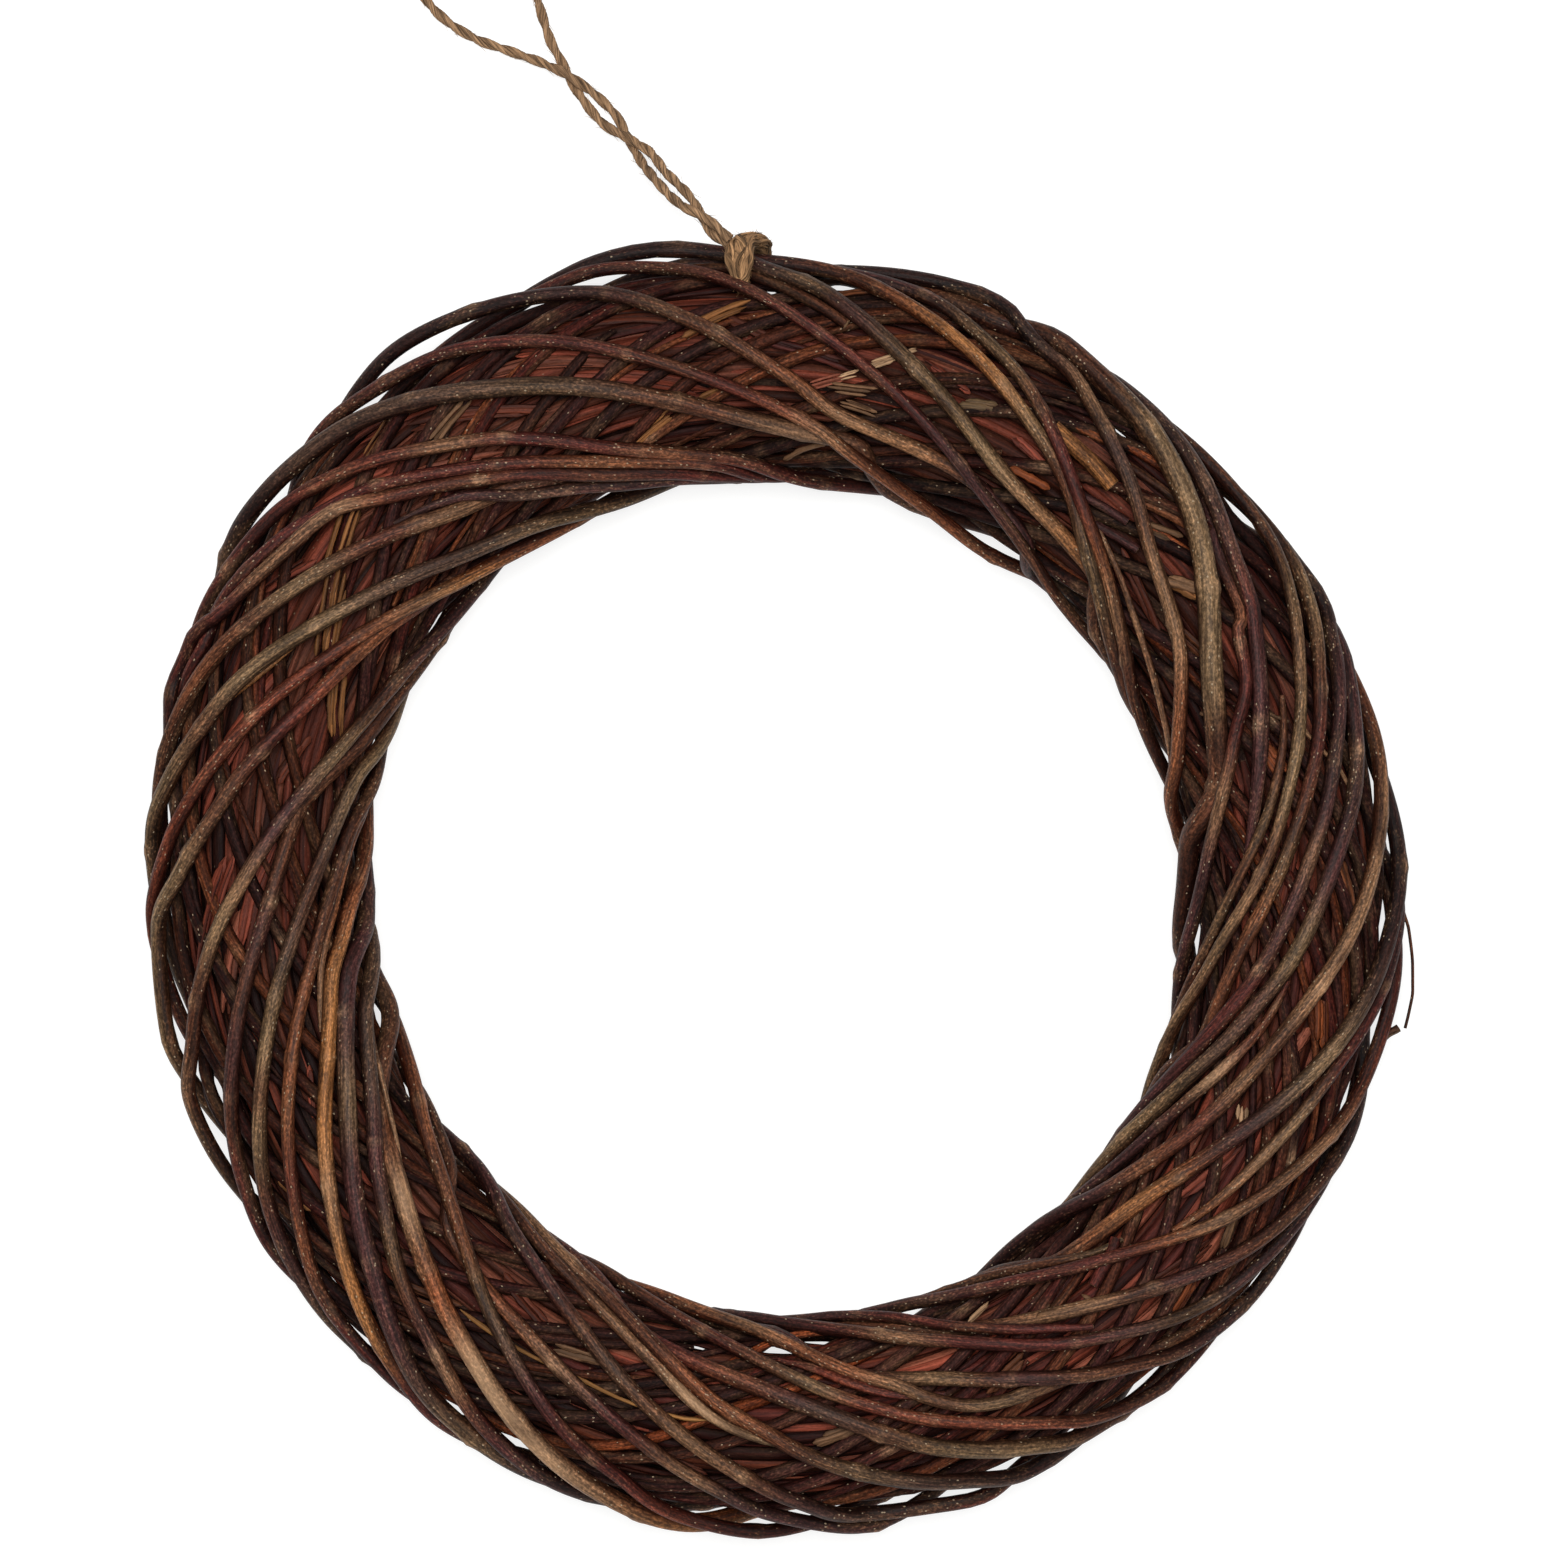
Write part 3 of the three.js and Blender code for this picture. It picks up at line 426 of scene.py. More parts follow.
CHIPS_AND_STUBS = (
    ("salmon", 5, 0.9, 1.4, 2, 0.8, ((3.4, 159.2), (7.8, 164.2))),
    ("peach", 4, 0.9, 1.4, 1.8, 0.5, ((6.6, 163), (9.2, 166.3))),
    ("peach", 6, 1.1, 1.4, 3.4, 0.4, ((9.8, 168), (13.1, 173))),
    ("peach", 3, 0.9, 1.4, 1.4, 0.4, ((13, 174.5), (14.8, 177.5))),
    ("tan", 4, 1.1, 1.4, 2.4, 0.8, ((5.2, 160), (8.5, 160), (11.4, 160.5))),
    ("tan", 4, 1, 1.4, 2, 0.8, ((7.2, 156), (9.5, 155), (11.9, 154))),
    ("orange_bark", 1, 3.6, 1.1, 0.2, 3.4, ((28.6, 172.5), (36.8, 176.4))),
    ("orange_bark", 1, 3.8, 1.1, 0.2, 3.4, ((36, 178), (42.9, 181.4))),
    ("umber", 1, 3.4, 1.1, 0.2, 3.4, ((37.8, 173.9), (45.9, 177.3))),
    ("sienna", 1, 3.2, 1.1, 0.2, 3.4, ((41.8, 166.9), (49.2, 174.6))),
    ("orange_bark", 1, 3.2, 1.1, 0.2, 3.4, ((44.2, 163.6), (52.4, 169.3))),
    ("umber", 1, 4.2, 1, 0.2, 0, ((351.6, 198.5), (355, 197), (358.5, 193), (2.5, 187.5), (7, 180))),
    ("plum", 1, 3.2, 1, 0.2, 0.6, ((36, 157.5), (38.3, 158), (43.7, 160.5))),
    ("plum", 1, 3.2, 1, 0.2, 0.6, ((39, 152.5), (41.3, 153.5), (46.8, 157))),
    ("orange_bark", 1, 2.8, 1.3, 0.2, 0.8, ((29, 152.5), (34.3, 153.5))),
    ("orange_bark", 4, 2.6, 2.4, 4.6, 0.8, ((73.3, 161), (77.7, 166))),
    ("pale_wood", 3, 1.6, 2.2, 3, 0.2, ((114.7, 162.5), (117.2, 165.5))),
    ("pale_wood", 3, 1.6, 2.2, 3, 0.4, ((152.7, 147.5), (156.7, 151))),
    ("pale_wood", 2, 1.4, 2.2, 1.6, 0.4, ((125.8, 140.5), (129.2, 141.5))),
    ("ochre", 1, 6.2, 1.1, 0.2, -1.5, ((31, 170.5), (33, 169.5), (36, 168.5), (39.8, 166.5))),
    ("tan", 3, 3, 1.5, 2.6, -0.6, ((51, 156.5), (55.5, 165))),
    ("ochre", 2, 2.2, 2, 2.6, -1, ((51.5, 157.5), (56, 163.5))),
    ("tan", 1, 4.2, 2.6, 0.4, -1.4, ((141.5, 168.5), (144, 164.5), (149, 159))),
    ("tan", 1, 1.6, 1.6, 0.2, -1.6, ((142.6, 165.5), (143.2, 161.5))),
    ("maroon", 1, 4.6, 1, 0.2, 0.4, ((141.5, 161.5), (140, 159.5), (138, 157.5), (136, 154.5))),
    ("khaki", 1, 3, 1, 0.2, 0, ((104.2, 197.8), (103.4, 200), (102.7, 202.4))),
    ("salmon", 3, 3.6, 2.4, 4.4, 3, ((108.6, 171.2), (104.4, 175.3))),
)
# Each group's name, rows and material slot, how much bark is left on a torn piece, and the least and
# greatest lightness of its pieces
LOOSE_PIECES = (
    ("split_strips", SPLIT_STRIPS, "core_twigs", 0.3, (0.3, 0.9)),
    ("straws", STRAWS, "core_twigs", 0.25, (0.45, 0.85)),
    ("chips_and_stubs", CHIPS_AND_STUBS, "lower_rods", 0.35, (0.65, 1.05)),
)
# Daylight between the rods, as the camera sees it: clock angle, distance from the ring's middle, half its
# length in degrees, and half its depth. Rods that would cover it are pushed aside
SLITS = (
    (5.5, 191.5, 0.8, 0.5), (36.5, 180.5, 0.6, 0.4), (51, 188.5, 1.3, 0.4), (102.5, 195.5, 3, 1.8),
    (110, 192, 0.6, 0.2), (143, 194.5, 1.5, 0.3), (161.5, 201, 0.5, 0.1), (181, 201, 1.5, 0.7),
    (205, 194.5, 1.2, 0.8), (210.5, 193.5, 0.6, 0.2), (218.5, 192.5, 1.1, 0.9), (245.5, 194, 0.8, 0.5),
    (250.5, 188.5, 0.8, 0.6), (255.5, 195.5, 1, 0.7), (307, 200.5, 2.5, 1.1), (319, 200.5, 1.9, 1),
    (322, 203.5, 2.5, 1.3), (327, 205.3, 3, 2), (332, 206.3, 2.5, 1.2), (343.5, 201, 2, 0.9),
    (350, 201.5, 3.3, 1.2), (359, 189, 0.8, 0.5), (32, 129, 3.6, 0.9), (97, 134.5, 1.8, 0.3),
    (162.5, 141.5, 0.7, 0.6), (176, 145.5, 1.4, 0.9), (180, 147, 1.4, 1), (190.5, 148.5, 1.3, 0.8),
    (252.5, 133, 0.9, 0.5),
)
SLIT_BEND = 10  # length over which a rod swerves
SLIT_REACH = 14  # how near the slit a rod has to pass
SLIT_AIR = 0.2  # air between the slit and the rod
MOST_ASIDE = 6  # a rod that would have to go further stays where it is

# How the rods grow and lie
SLOPE = 360 * CURVE_CIRCUITS / CURVE_TURNS  # degrees round the ring for each turn of the section
TUCK = 0.11  # turns that a rod runs on past its last seen place, if that is at a rim
RIMS = (190, 138)  # distances past which a seen place is at the outer or the inner rim
OUTER_STEPS = 210  # steps for each turn of the section, here and in the next two
UNDER_STEPS = 120
SWITCH_STEPS = 100
SPINE_STEP = 1.3  # length of a loose piece's steps
SWITCH_BUNDLES = 4
OUTER_SIDES = 14
UNDER_SIDES = 10
THIN_SIDES = 8
TWIG_SIDES = 6
TWIG_REACH = (50, 170)  # least and greatest length of a core twig, in degrees round the ring
TWIG_STEP = 1.7
UNDER_STRAY = 2.5  # how much more a lower rod strays than an outer one
ADDED_STRAY = 0.3
KINK = 0.12  # how far a rod strays at each bud
BUD_GAPS = (38, 85)  # least and greatest distance from bud to bud
BUD_LENGTH = 2.2
BUD_SWELLING = 0.08  # shares of the radius
BUD_HEIGHT = 0.2
BUD_TURN = 2.4  # the angle from bud to bud round the rod, in radians
BARK_ROOM = 1.06  # bark swells past the radius by a little, so the floor is kept this much away
END_BULGE = 0.15  # how far an end's middle stands out, as a share of the radius
BUNDLE_INSET = (4, 2.4)  # how far the core's dark inside lies below its surface, in width and in height
BUNDLE_SIDES = 28

# Bark
SUNK_SHADE = (0.17, 0.1, 0.08)  # painted shade, darker and redder, on a rod's side that is turned from the light
LOWER_SHADE = (0.78, 0.64, 0.58)  # painted shade, darker and redder, on bark that lies under the outer rods
MEAN_LIGHT = 0.86  # light of the lower pieces
LOWER_LIGHT = ((2, 0.28, 148), (1, 0.15, 165))  # its lobes, their size and the angle where they are lightest
SCAR_PALENESS = 0.4  # how far a leaf scar goes to the colour of bare wood
TWIG_BARK = 0.35  # how much bark is left on a core twig
UNDER_PATCHES = 8  # changes of colour along a lower rod
SWITCH_PATCHES = 2
BACK_TONES = ("umber", "plum", "maroon", "olive", "sienna", "umber", "plum")
UNDER_TONES = ("plum", "plum", "char", "maroon", "plum", "umber", "char", "maroon", "sienna")
SWITCH_TONES = ("plum", "char", "maroon", "orange_bark", "plum", "sienna", "char", "umber")
TWIG_TONES = ("split_red", "split_red", "split_red", "salmon", "brick", "maroon", "maroon")
DEAD_SKIN = "#6e523a"  # outer skin that has died and gone dull
STAIN = "#28130e"  # dark blotches on old bark
BLEACHED = "#8d6e54"  # inner bark where the skin has flaked off
CORK = "#b09a7e"  # lenticels
DEEP_SHADE = "#2a1712"  # painted shade: the core's inside, a near-black tube that stands for the shadow between its twigs

# The jute cord and its hitch, as in the frame. The hitch is a loosened hank of thin locks. Its path has the
# clock angle, turn and distance above the outer rods' seat, and its half width and half thickness there
HITCH_PATH = (
    (356.5, 0.36, 0.8, 4.6, 1.4), (356.6, 0.358, 2.8, 5.3, 2.2), (356.55, 0.342, 5.8, 5.4, 2.8),
    (356.55, 0.318, 7.2, 5.2, 3.1), (356.8, 0.29, 8.3, 5.0, 3.3), (357.5, 0.265, 9.0, 4.6, 3.3),
    (358.1, 0.25, 9.0, 4.5, 3.2), (358.4, 0.228, 8.0, 4.4, 2.9), (358.4, 0.2, 6.4, 4.4, 2.6),
    (358.3, 0.175, 4.4, 4.2, 2.2),
)
HITCH_STEPS = 60
HITCH_LOCKS = 64  # thin bundles of fibre that the hank is made of
HITCH_FILL = 0.86  # share of the hitch's width that the outermost lock lies at
GOLDEN_ANGLE = 2.4  # radians from lock to lock, which spreads them evenly
HITCH_STAIN = (1.05, 0.98, 0.86, 1)  # the hitch has rubbed on the bark and is browner than the cord
JUTE_SHADE = 0.62  # painted shade: how light a ply's or a lock's inner side is painted
PLY_OFFSET = 0.18  # shares of the cord's diameter
PLY_RADIUS = 0.32
PLY_SIDES = 10
LOCK_SIDES = 8
HAIR_SIDES = 3
HAIR_STEPS = 5
HAIR_RADII = (0.09, 0.04)  # at its root and at its tip
CORD_STEP = 1.2
CORD_DIAMETER = 3.4
CORD_ROUTE = (
    (-15.1, 205.4, 37.6), (-19.6, 209.6, 36.8), (-24, 212.9, 35), (-28.8, 215.5, 32.1), (-32.8, 218.8, 26.8),
    (-39.5, 226.6, 17.4), (-44.4, 233.9, 7.7), (-48.3, 241.4, 2.2), (-51.6, 247.6, 2.2), (-56.4, 252.7, 2.9),
    (-61.9, 257.1, 4.6), (-67.3, 260.7, 6.2), (-72.6, 263.4, 4.8), (-78.8, 266.2, 2.6), (-87.5, 269.3, 1.9),
    (-97.5, 273, 1.9), (-109.4, 281.1, 1.9), (-118.5, 295, 1.9), (-121, 312, 1.9), (-115, 329, 1.9),
    (-102, 337, 1.9), (-90, 331, 1.9), (-84, 316, 1.9), (-80.6, 300, 1.9), (-77.2, 285.5, 1.9),
    (-72.8, 271.5, 1.9), (-69.4, 265.3, 1.9), (-67.3, 260.7, 1.9), (-63.9, 255.1, 1.9), (-59.8, 249.5, 1.9),
    (-54.9, 244.4, 3.6), (-48.5, 240.6, 6.6), (-41, 235.5, 11.9), (-35.9, 228.6, 19), (-29.2, 221.2, 27.2),
    (-26.2, 217.3, 29.1), (-24, 212.9, 30.7), (-19.9, 206.8, 32.2), (-15.2, 203.9, 33),
)

# The view looks straight down on a point a little towards the hitch, so that the cord shows
CAMERA_DISTANCE = 2000
VIEW_CENTRE = (2.07, 33.0)
VIEW_WIDTH = 498
SENSOR = 36

TURN = 2 * math.pi


def linear(hex_colour):
    """An sRGB hex colour as linear red, green and blue."""
    srgb = [int(hex_colour[i : i + 2], 16) / 255 for i in (1, 3, 5)]
    return tuple(c / 12.92 if c <= 0.04045 else ((c + 0.055) / 1.055) ** 2.4 for c in srgb)


def metres(lengths):
    return np.asarray(lengths, float) / 1000


def millimetres(setting):
    return setting * 1000


# Settings that a user would change

def colour(name, description, hex_colour):
    return bpy.props.FloatVectorProperty(
        name=name, description=description, subtype="COLOR", default=linear(hex_colour), min=0, max=1
    )


def length(name, description, millimetres):
    return bpy.props.FloatProperty(
        name=name, description=description, unit="LENGTH", subtype="DISTANCE",
        default=millimetres / 1000, min=0, precision=5,
    )


class WreathColours(bpy.types.PropertyGroup):
    char: colour("Char", "Bark of the oldest rods, almost black", "#37221f")
    plum: colour("Plum", "Dark purple-brown bark of a young rod", "#402422")
    slate: colour("Slate", "Blue-grey bark with a thin bloom", "#4b362a")
    maroon: colour("Maroon", "Red-brown bark", "#491f19")
    brick: colour("Brick", "Bright red bark", "#602e1e")
    umber: colour("Umber", "Plain brown bark", "#4b2b1c")
    sienna: colour("Sienna", "Orange-brown bark", "#6b3e26")
    ochre: colour("Ochre", "Orange-tan bark", "#8b5b33")
    olive: colour("Olive", "Green-grey bark", "#503c28")
    khaki: colour("Khaki", "Pale green-grey bark of a thick rod", "#725a40")
    tan: colour("Tan", "Light bark, worn to the wood in places", "#7a593f")
    pale_wood: colour("Pale wood", "Fresh wood at cut and broken ends", "#9e7c5d")
    split_red: colour("Split red", "Inner bark on the core's split twigs", "#823e2d")
    salmon: colour("Salmon", "Fresh inner bark on a split twig", "#8c4e3a")
    orange_bark: colour("Orange bark", "Peeled orange-brown twigs", "#7c4022")
    peach: colour("Peach", "Fresh wood of a chip", "#b4906d")
    yellow_straw: colour("Yellow straw", "A dry yellow straw", "#8f6336")
    jute: colour("Jute", "Undyed jute fibre", "#8f7053")
    floor: colour("Floor", "Plain pale floor", "#9c9c9a")


class WreathSizes(bpy.types.PropertyGroup):
    twig_count: bpy.props.IntProperty(
        name="Core twigs", description="Fine twigs laid round the core", default=230, min=0
    )
    twig_width: length("Twig width", "Mean width of a core twig", 3.4)
    switch_count: bpy.props.IntProperty(
        name="Thin switches", description="Thin switches pushed in among the lower rods", default=46, min=0
    )
    switch_width: length("Switch width", "Mean width of a thin switch", 3.2)
    sway: length("Sway", "How far a rod strays sideways from its even course", 0.8)
    ply_pitch: length("Ply pitch", "Length in which the twine's two plies turn once", 17)
    hair: length("Hair", "Length of a loose jute fibre", 4.5)


# Shapes

def wave(angle, lobes, size, towards):
    return size * np.cos(lobes * np.radians(angle - towards))


def ring_radius(angle):
    return RING_RADIUS + wave(angle, *SHIFT) + wave(angle, *OVAL) + wave(angle, *LOBES)


def fatness(angle):
    """How much wider the section is at a clock angle."""
    return wave(angle, *FAT_SIDE) + wave(angle, *FAT_LOBES)


def on_ring(angle, turn, seat, off):
    """Points at clock angles and turns of the section, `off` outwards from a layer's seat."""
    angle, turn, off = np.broadcast_arrays(*(np.asarray(x, float) for x in (angle, turn, off)))
    around = (turn - 0.25) * TURN
    radius = ring_radius(angle) + (seat[0] + fatness(angle) + off) * np.cos(around)
    clock = np.radians(angle)
    height = MID_HEIGHT + (seat[1] + off) * np.sin(around)
    return np.stack([radius * np.sin(clock), radius * np.cos(clock), height], -1)


def between(value_at, x):
    """A smooth value between those at whole numbers."""
    n = np.floor(x).astype(int)
    t = x - n
    a, b, c, d = (value_at(n + k) for k in (-1, 0, 1, 2))
    return b + 0.5 * t * (c - a + t * (2 * a - 5 * b + 4 * c - d + t * (3 * (b - c) + d - a)))


def wander(rng, x, reach, size):
    """Smooth random values along x, with waves about `reach` long."""
    total = np.zeros_like(x, float)
    for share, shorter in ((1, 1), (0.6, 0.61), (0.35, 0.37)):
        total += share * np.sin(TURN * (x / (reach * shorter) + rng.random()))
    return size * total


def unit(vectors):
    return vectors / np.linalg.norm(vectors, axis=-1, keepdims=True)


def away_from_core(points):
    """Unit vectors out of the section's middle."""
    clock = np.arctan2(points[:, 0], points[:, 1])
    radius = ring_radius(np.degrees(clock))
    middle = np.stack([radius * np.sin(clock), radius * np.cos(clock), np.full(len(points), MID_HEIGHT)], -1)
    return unit(points - middle)


def distances(points):
    steps = np.linalg.norm(np.diff(points, axis=0), axis=1)
    return np.concatenate([[0], np.cumsum(steps)])


def as_seen(points):
    """Points as the camera sees them, on the level of the section's middle."""
    centre = np.array(VIEW_CENTRE)
    depth = CAMERA_DISTANCE + MID_HEIGHT - points[:, 2:]
    return centre + (points[:, :2] - centre) * CAMERA_DISTANCE / depth


def open_slits(spine, radius, kept=None):
    """Pushes a rod aside where it would cover daylight, but for the steps in `kept`."""
    travelled = distances(spine)
    for clock, distance, span, depth in SLITS:
        towards = np.array([math.sin(math.radians(clock)), math.cos(math.radians(clock))])
        along_ring = np.array([towards[1], -towards[0]])
        half = math.radians(span) * distance
        seen = as_seen(spine)
        offset = seen - distance * towards
        away = np.linalg.norm(offset, axis=1)
        nearest = (away[1:-1] < SLIT_REACH) & (away[1:-1] <= away[:-2]) & (away[1:-1] <= away[2:])
        for i in np.flatnonzero(nearest) + 1:
            if kept is not None and kept[i]:
                continue
            way = unit(seen[i + 1] - seen[i - 1])
            across = np.array([-way[1], way[0]])
            aside = float(offset[i] @ across)
            room = math.hypot(half * (across @ along_ring), depth * (across @ towards)) + radius[i] + SLIT_AIR
            if 0 < room - abs(aside) < MOST_ASIDE:
                bend = SLIT_BEND + half * abs(way @ along_ring)
                fade = np.exp(-(((travelled - travelled[i]) / bend) ** 2))
                swerve = math.copysign(room - abs(aside), aside) * fade
                spine[:, :2] += swerve[:, None] * across


class Tubes:
    """Closed tubes gathered into one mesh. Each vertex holds the colour of its place, with 1 for bark and 0
    for bare wood beside it, and its place on the tube as if that were straight, which patterns follow."""

    def __init__(self):
        self.points, self.quads, self.ends, self.tones, self.grains = [], [], [], [], []
        self.count = 0

    def add(self, spine, out, radius, sides, tone, end_tone, flat=1.0, grain_start=0.0, sunk=SUNK_SHADE):
        """One tube along `spine`, in millimetres. radius is one value a step, or one for each side too.
        flat is how much wider the section is than it is thick. The last argument is the painted shade of its
        inner side.
        grain_start differs from tube to tube, so that no two show the same stretch of a pattern."""
        steps = len(spine)
        along = unit(np.gradient(spine, axis=0))
        out = unit(out - (out * along).sum(1, keepdims=True) * along)
        side = np.cross(along, out)
        theta = np.arange(sides) * TURN / sides
        if np.ndim(radius) == 1:
            radius = np.repeat(np.asarray(radius)[:, None], sides, 1)
        ring = radius[..., None] * (
            np.cos(theta)[None, :, None] * out[:, None] + flat * np.sin(theta)[None, :, None] * side[:, None]
        )
        points = spine[:, None] + ring
        points[..., 2] = np.maximum(points[..., 2], 0)
        travelled = distances(spine) + grain_start
        mean = float(radius.mean())
        grain = np.empty((steps, sides, 3))
        grain[..., 0] = mean * np.cos(theta)
        grain[..., 1] = mean * flat * np.sin(theta)
        grain[..., 2] = travelled[:, None]
        tones = np.array(tone if tone.ndim == 3 else np.repeat(tone[:, None], sides, 1))
        # Painted shade: each side is painted darker the further it turns from the light, down to the inner
        # side's shade
        painted_lit_share = np.clip((np.cos(theta) + 0.25) / 1.2, 0, 1) ** 1.3
        sunk = np.asarray(sunk, float) * np.ones(3)
        tones[..., :3] *= sunk + (1 - sunk) * painted_lit_share[None, :, None]
        first = self.count + np.arange(steps - 1)[:, None] * sides
        j = np.arange(sides)[None]
        k = (j + 1) % sides
        corners = (first + j, first + k, first + sides + k, first + sides + j)
        self.quads.append(np.stack(corners, -1).reshape(-1, 4))
        self._take(points.reshape(-1, 3), tones.reshape(-1, 4), grain.reshape(-1, 3))
        for at, way in ((0, -1), (-1, 1)):
            centre = self.count + sides
            rim = np.concatenate([points[at], [spine[at] + way * END_BULGE * mean * along[at]]])
            end_grain = np.concatenate([grain[at], [[0, 0, travelled[at]]]])
            self._take(rim, np.repeat([end_tone], sides + 1, 0), end_grain)
            a, b = (k[0], j[0]) if way < 0 else (j[0], k[0])
            start = centre - sides
            self.ends.append(np.stack([np.full(sides, centre), start + a, start + b], -1))

    def _take(self, points, tones, grain):
        self.points.append(points)
        self.tones.append(tones)
        self.grains.append(grain)
        self.count += len(points)

    def piece(self, name, material, slot, *nodes):
        """The gathered tubes as a piece on the wreath's body, which stands for `nodes`."""
        mesh = bpy.data.meshes.new(name)
        faces = np.concatenate(self.quads).tolist() + np.concatenate(self.ends).tolist()
        mesh.from_pydata(metres(np.concatenate(self.points)).tolist(), [], faces)
        tones = mesh.attributes.new("tone", "FLOAT_COLOR", "POINT")
        tones.data.foreach_set("color", np.concatenate(self.tones).astype(np.float32).ravel())
        grain = mesh.attributes.new("grain", "FLOAT_VECTOR", "POINT")
        grain.data.foreach_set("vector", metres(np.concatenate(self.grains)).astype(np.float32).ravel())
        mesh.shade_smooth()
        mesh.materials.append(material)
        made = bpy.data.objects.new(name, mesh)
        bpy.context.scene.collection.objects.link(made)
        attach(made, "root")
        if nodes:
            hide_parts(*nodes)
        return made


def layer_rods(crossings, hand, crossing_at):
    """Each rod of a layer: its number, its curve, the turns at which it starts and ends, and a function that
    gives a value of the crossings smoothly at any turn."""
    labels_per_turn = hand * crossings * CURVE_CIRCUITS // CURVE_TURNS
    for curve in range(crossings // CURVE_TURNS):
        def passing(what, turn, curve=curve):
            return between(lambda n: crossing_at(curve + labels_per_turn * n)[what], turn - 0.5)

        for cut in range(1, len(CURVE_CUTS)):
            start = curve * CUT_SHIFT + CURVE_CUTS[cut - 1] + END_GAP
            end = curve * CUT_SHIFT + CURVE_CUTS[cut] - END_GAP
            yield curve * (len(CURVE_CUTS) - 1) + cut, curve, start, end, passing


def under_crossing(label):
    size, times = UNDER_SWAY
    sway = size * np.sin(TURN * times * label / UNDER_CROSSINGS)
    angle = label * 360 / UNDER_CROSSINGS + sway
    return {"angle": angle, "diameter": np.full(np.shape(label), UNDER_DIAMETER)}


def outer_crossing(label):
    circuit, place = np.divmod(label, len(FRONT_RODS))
    angle = np.array([rod[0] for rod in FRONT_RODS], float)
    diameter = np.array([rod[1] for rod in FRONT_RODS], float)
    return {"angle": angle[place] + 360 * circuit, "diameter": diameter[place]}


def seen_place(clock, distance, diameter, seat=OUTER_SEAT):
    """Clock angle, turn and lift of a place on the front, from its clock angle and distance as seen."""
    centre = np.array(VIEW_CENTRE)
    towards = math.radians(clock)
    seen = distance * np.array([math.sin(towards), math.cos(towards)])
    height = seat[1]
    for _ in range(4):
        place = centre + (seen - centre) * (1 - height / CAMERA_DISTANCE)
        angle = math.degrees(math.atan2(place[0], place[1]))
        reach = seat[0] + fatness(angle) + diameter / 2
        across = (math.hypot(*place) - ring_radius(angle)) / reach
        around = math.acos(min(1, max(-1, across)))
        height = (seat[1] + diameter / 2) * math.sin(around)
    return angle, 0.25 + around / TURN, reach * max(0, across - 1)


class Course:
    """A rod's way off its even course, its lift and its bark, at turns of the section."""

    def __init__(self, colours):
        self.colours, self.rows = colours, []

    def follow(self, places, diameter, whole_turns, angle_at):
        """Takes in one crossing's seen places. angle_at gives the even course."""
        rows = []
        for clock, distance, tone, *lift in places:
            angle, turn, beyond = seen_place(clock, distance, diameter)
            turn += whole_turns
            aside = (angle - float(angle_at(np.array([turn]))[0]) + 180) % 360 - 180
            rows.append((turn, aside, beyond + sum(lift), *getattr(self.colours, tone)))
        rows.sort()
        first, last = rows[0], rows[-1]
        # Past its last seen place the rod goes back to its even course
        for row, way in ((first, -1), (last, 1)):
            self.rows.append((row[0] + way * TUCK, 0, 0.6 * min(0, row[2]), *row[3:]))
            self.rows.append((row[0] + way * 2.2 * TUCK, 0, 0, *row[3:]))
        self.rows += rows
        return first[0], last[0]

    def at(self, turn):
        """Degrees aside, lift, and the bark's colour with 1 for bark."""
        rows = np.array(sorted(self.rows))
        spread = np.hanning(OUTER_STEPS // 16)
        spread /= spread.sum()
        smooth = []
        for column in rows[:, 1:].T:
            even = np.interp(turn, rows[:, 0], column)
            padded = np.pad(even, len(spread) // 2, mode="edge")
            smooth.append(np.convolve(padded, spread, mode="same")[len(spread) // 2:][:len(turn)])
        tone = np.stack([*smooth[2:], np.ones(len(turn))], -1)
        return smooth[0], smooth[1], tone


def lower_bark(rng, colours, words, patches, turn):
    """Bark along a rod below the outer ones, most of it dark from painted shade for its depth, as red, green,
    blue and 1 for bark.
    """
    drawn = rng.choice(words, patches)
    shades = np.array([getattr(colours, word) for word in drawn])
    # Painted shade for lying under the outer rods, times a random lightness for each patch
    shades = shades * LOWER_SHADE * rng.uniform(0.5, 1.15, (patches, 1)) ** 1.3
    places = np.linspace(turn[0], turn[-1], patches)
    mixed = np.stack([np.interp(turn, places, shades[:, c]) for c in range(3)], -1)
    return np.concatenate([mixed, np.ones((len(turn), 1))], -1)


def varied_round_ring(tone, spine):
    """A lower piece's colours, made lighter in some places round the ring and darker in others, by clock
    angle.
    """
    clock = np.degrees(np.arctan2(spine[:, 0], spine[:, 1]))
    light = MEAN_LIGHT + wave(clock, *LOWER_LIGHT[0]) + wave(clock, *LOWER_LIGHT[1])
    return np.concatenate([tone[:, :3] * light[:, None], tone[:, 3:]], 1)


def bare(colours):
    """The colour of bare wood, with 0 for no bark."""
    return np.array([*colours.pale_wood, 0.0])


def bud_places(rng, length):
    """Places of the buds along a rod, in millimetres, the first ones before its start."""
    least, greatest = BUD_GAPS
    return rng.uniform(-40, 20) + np.cumsum(rng.uniform(least, greatest, int(length / least) + 3))


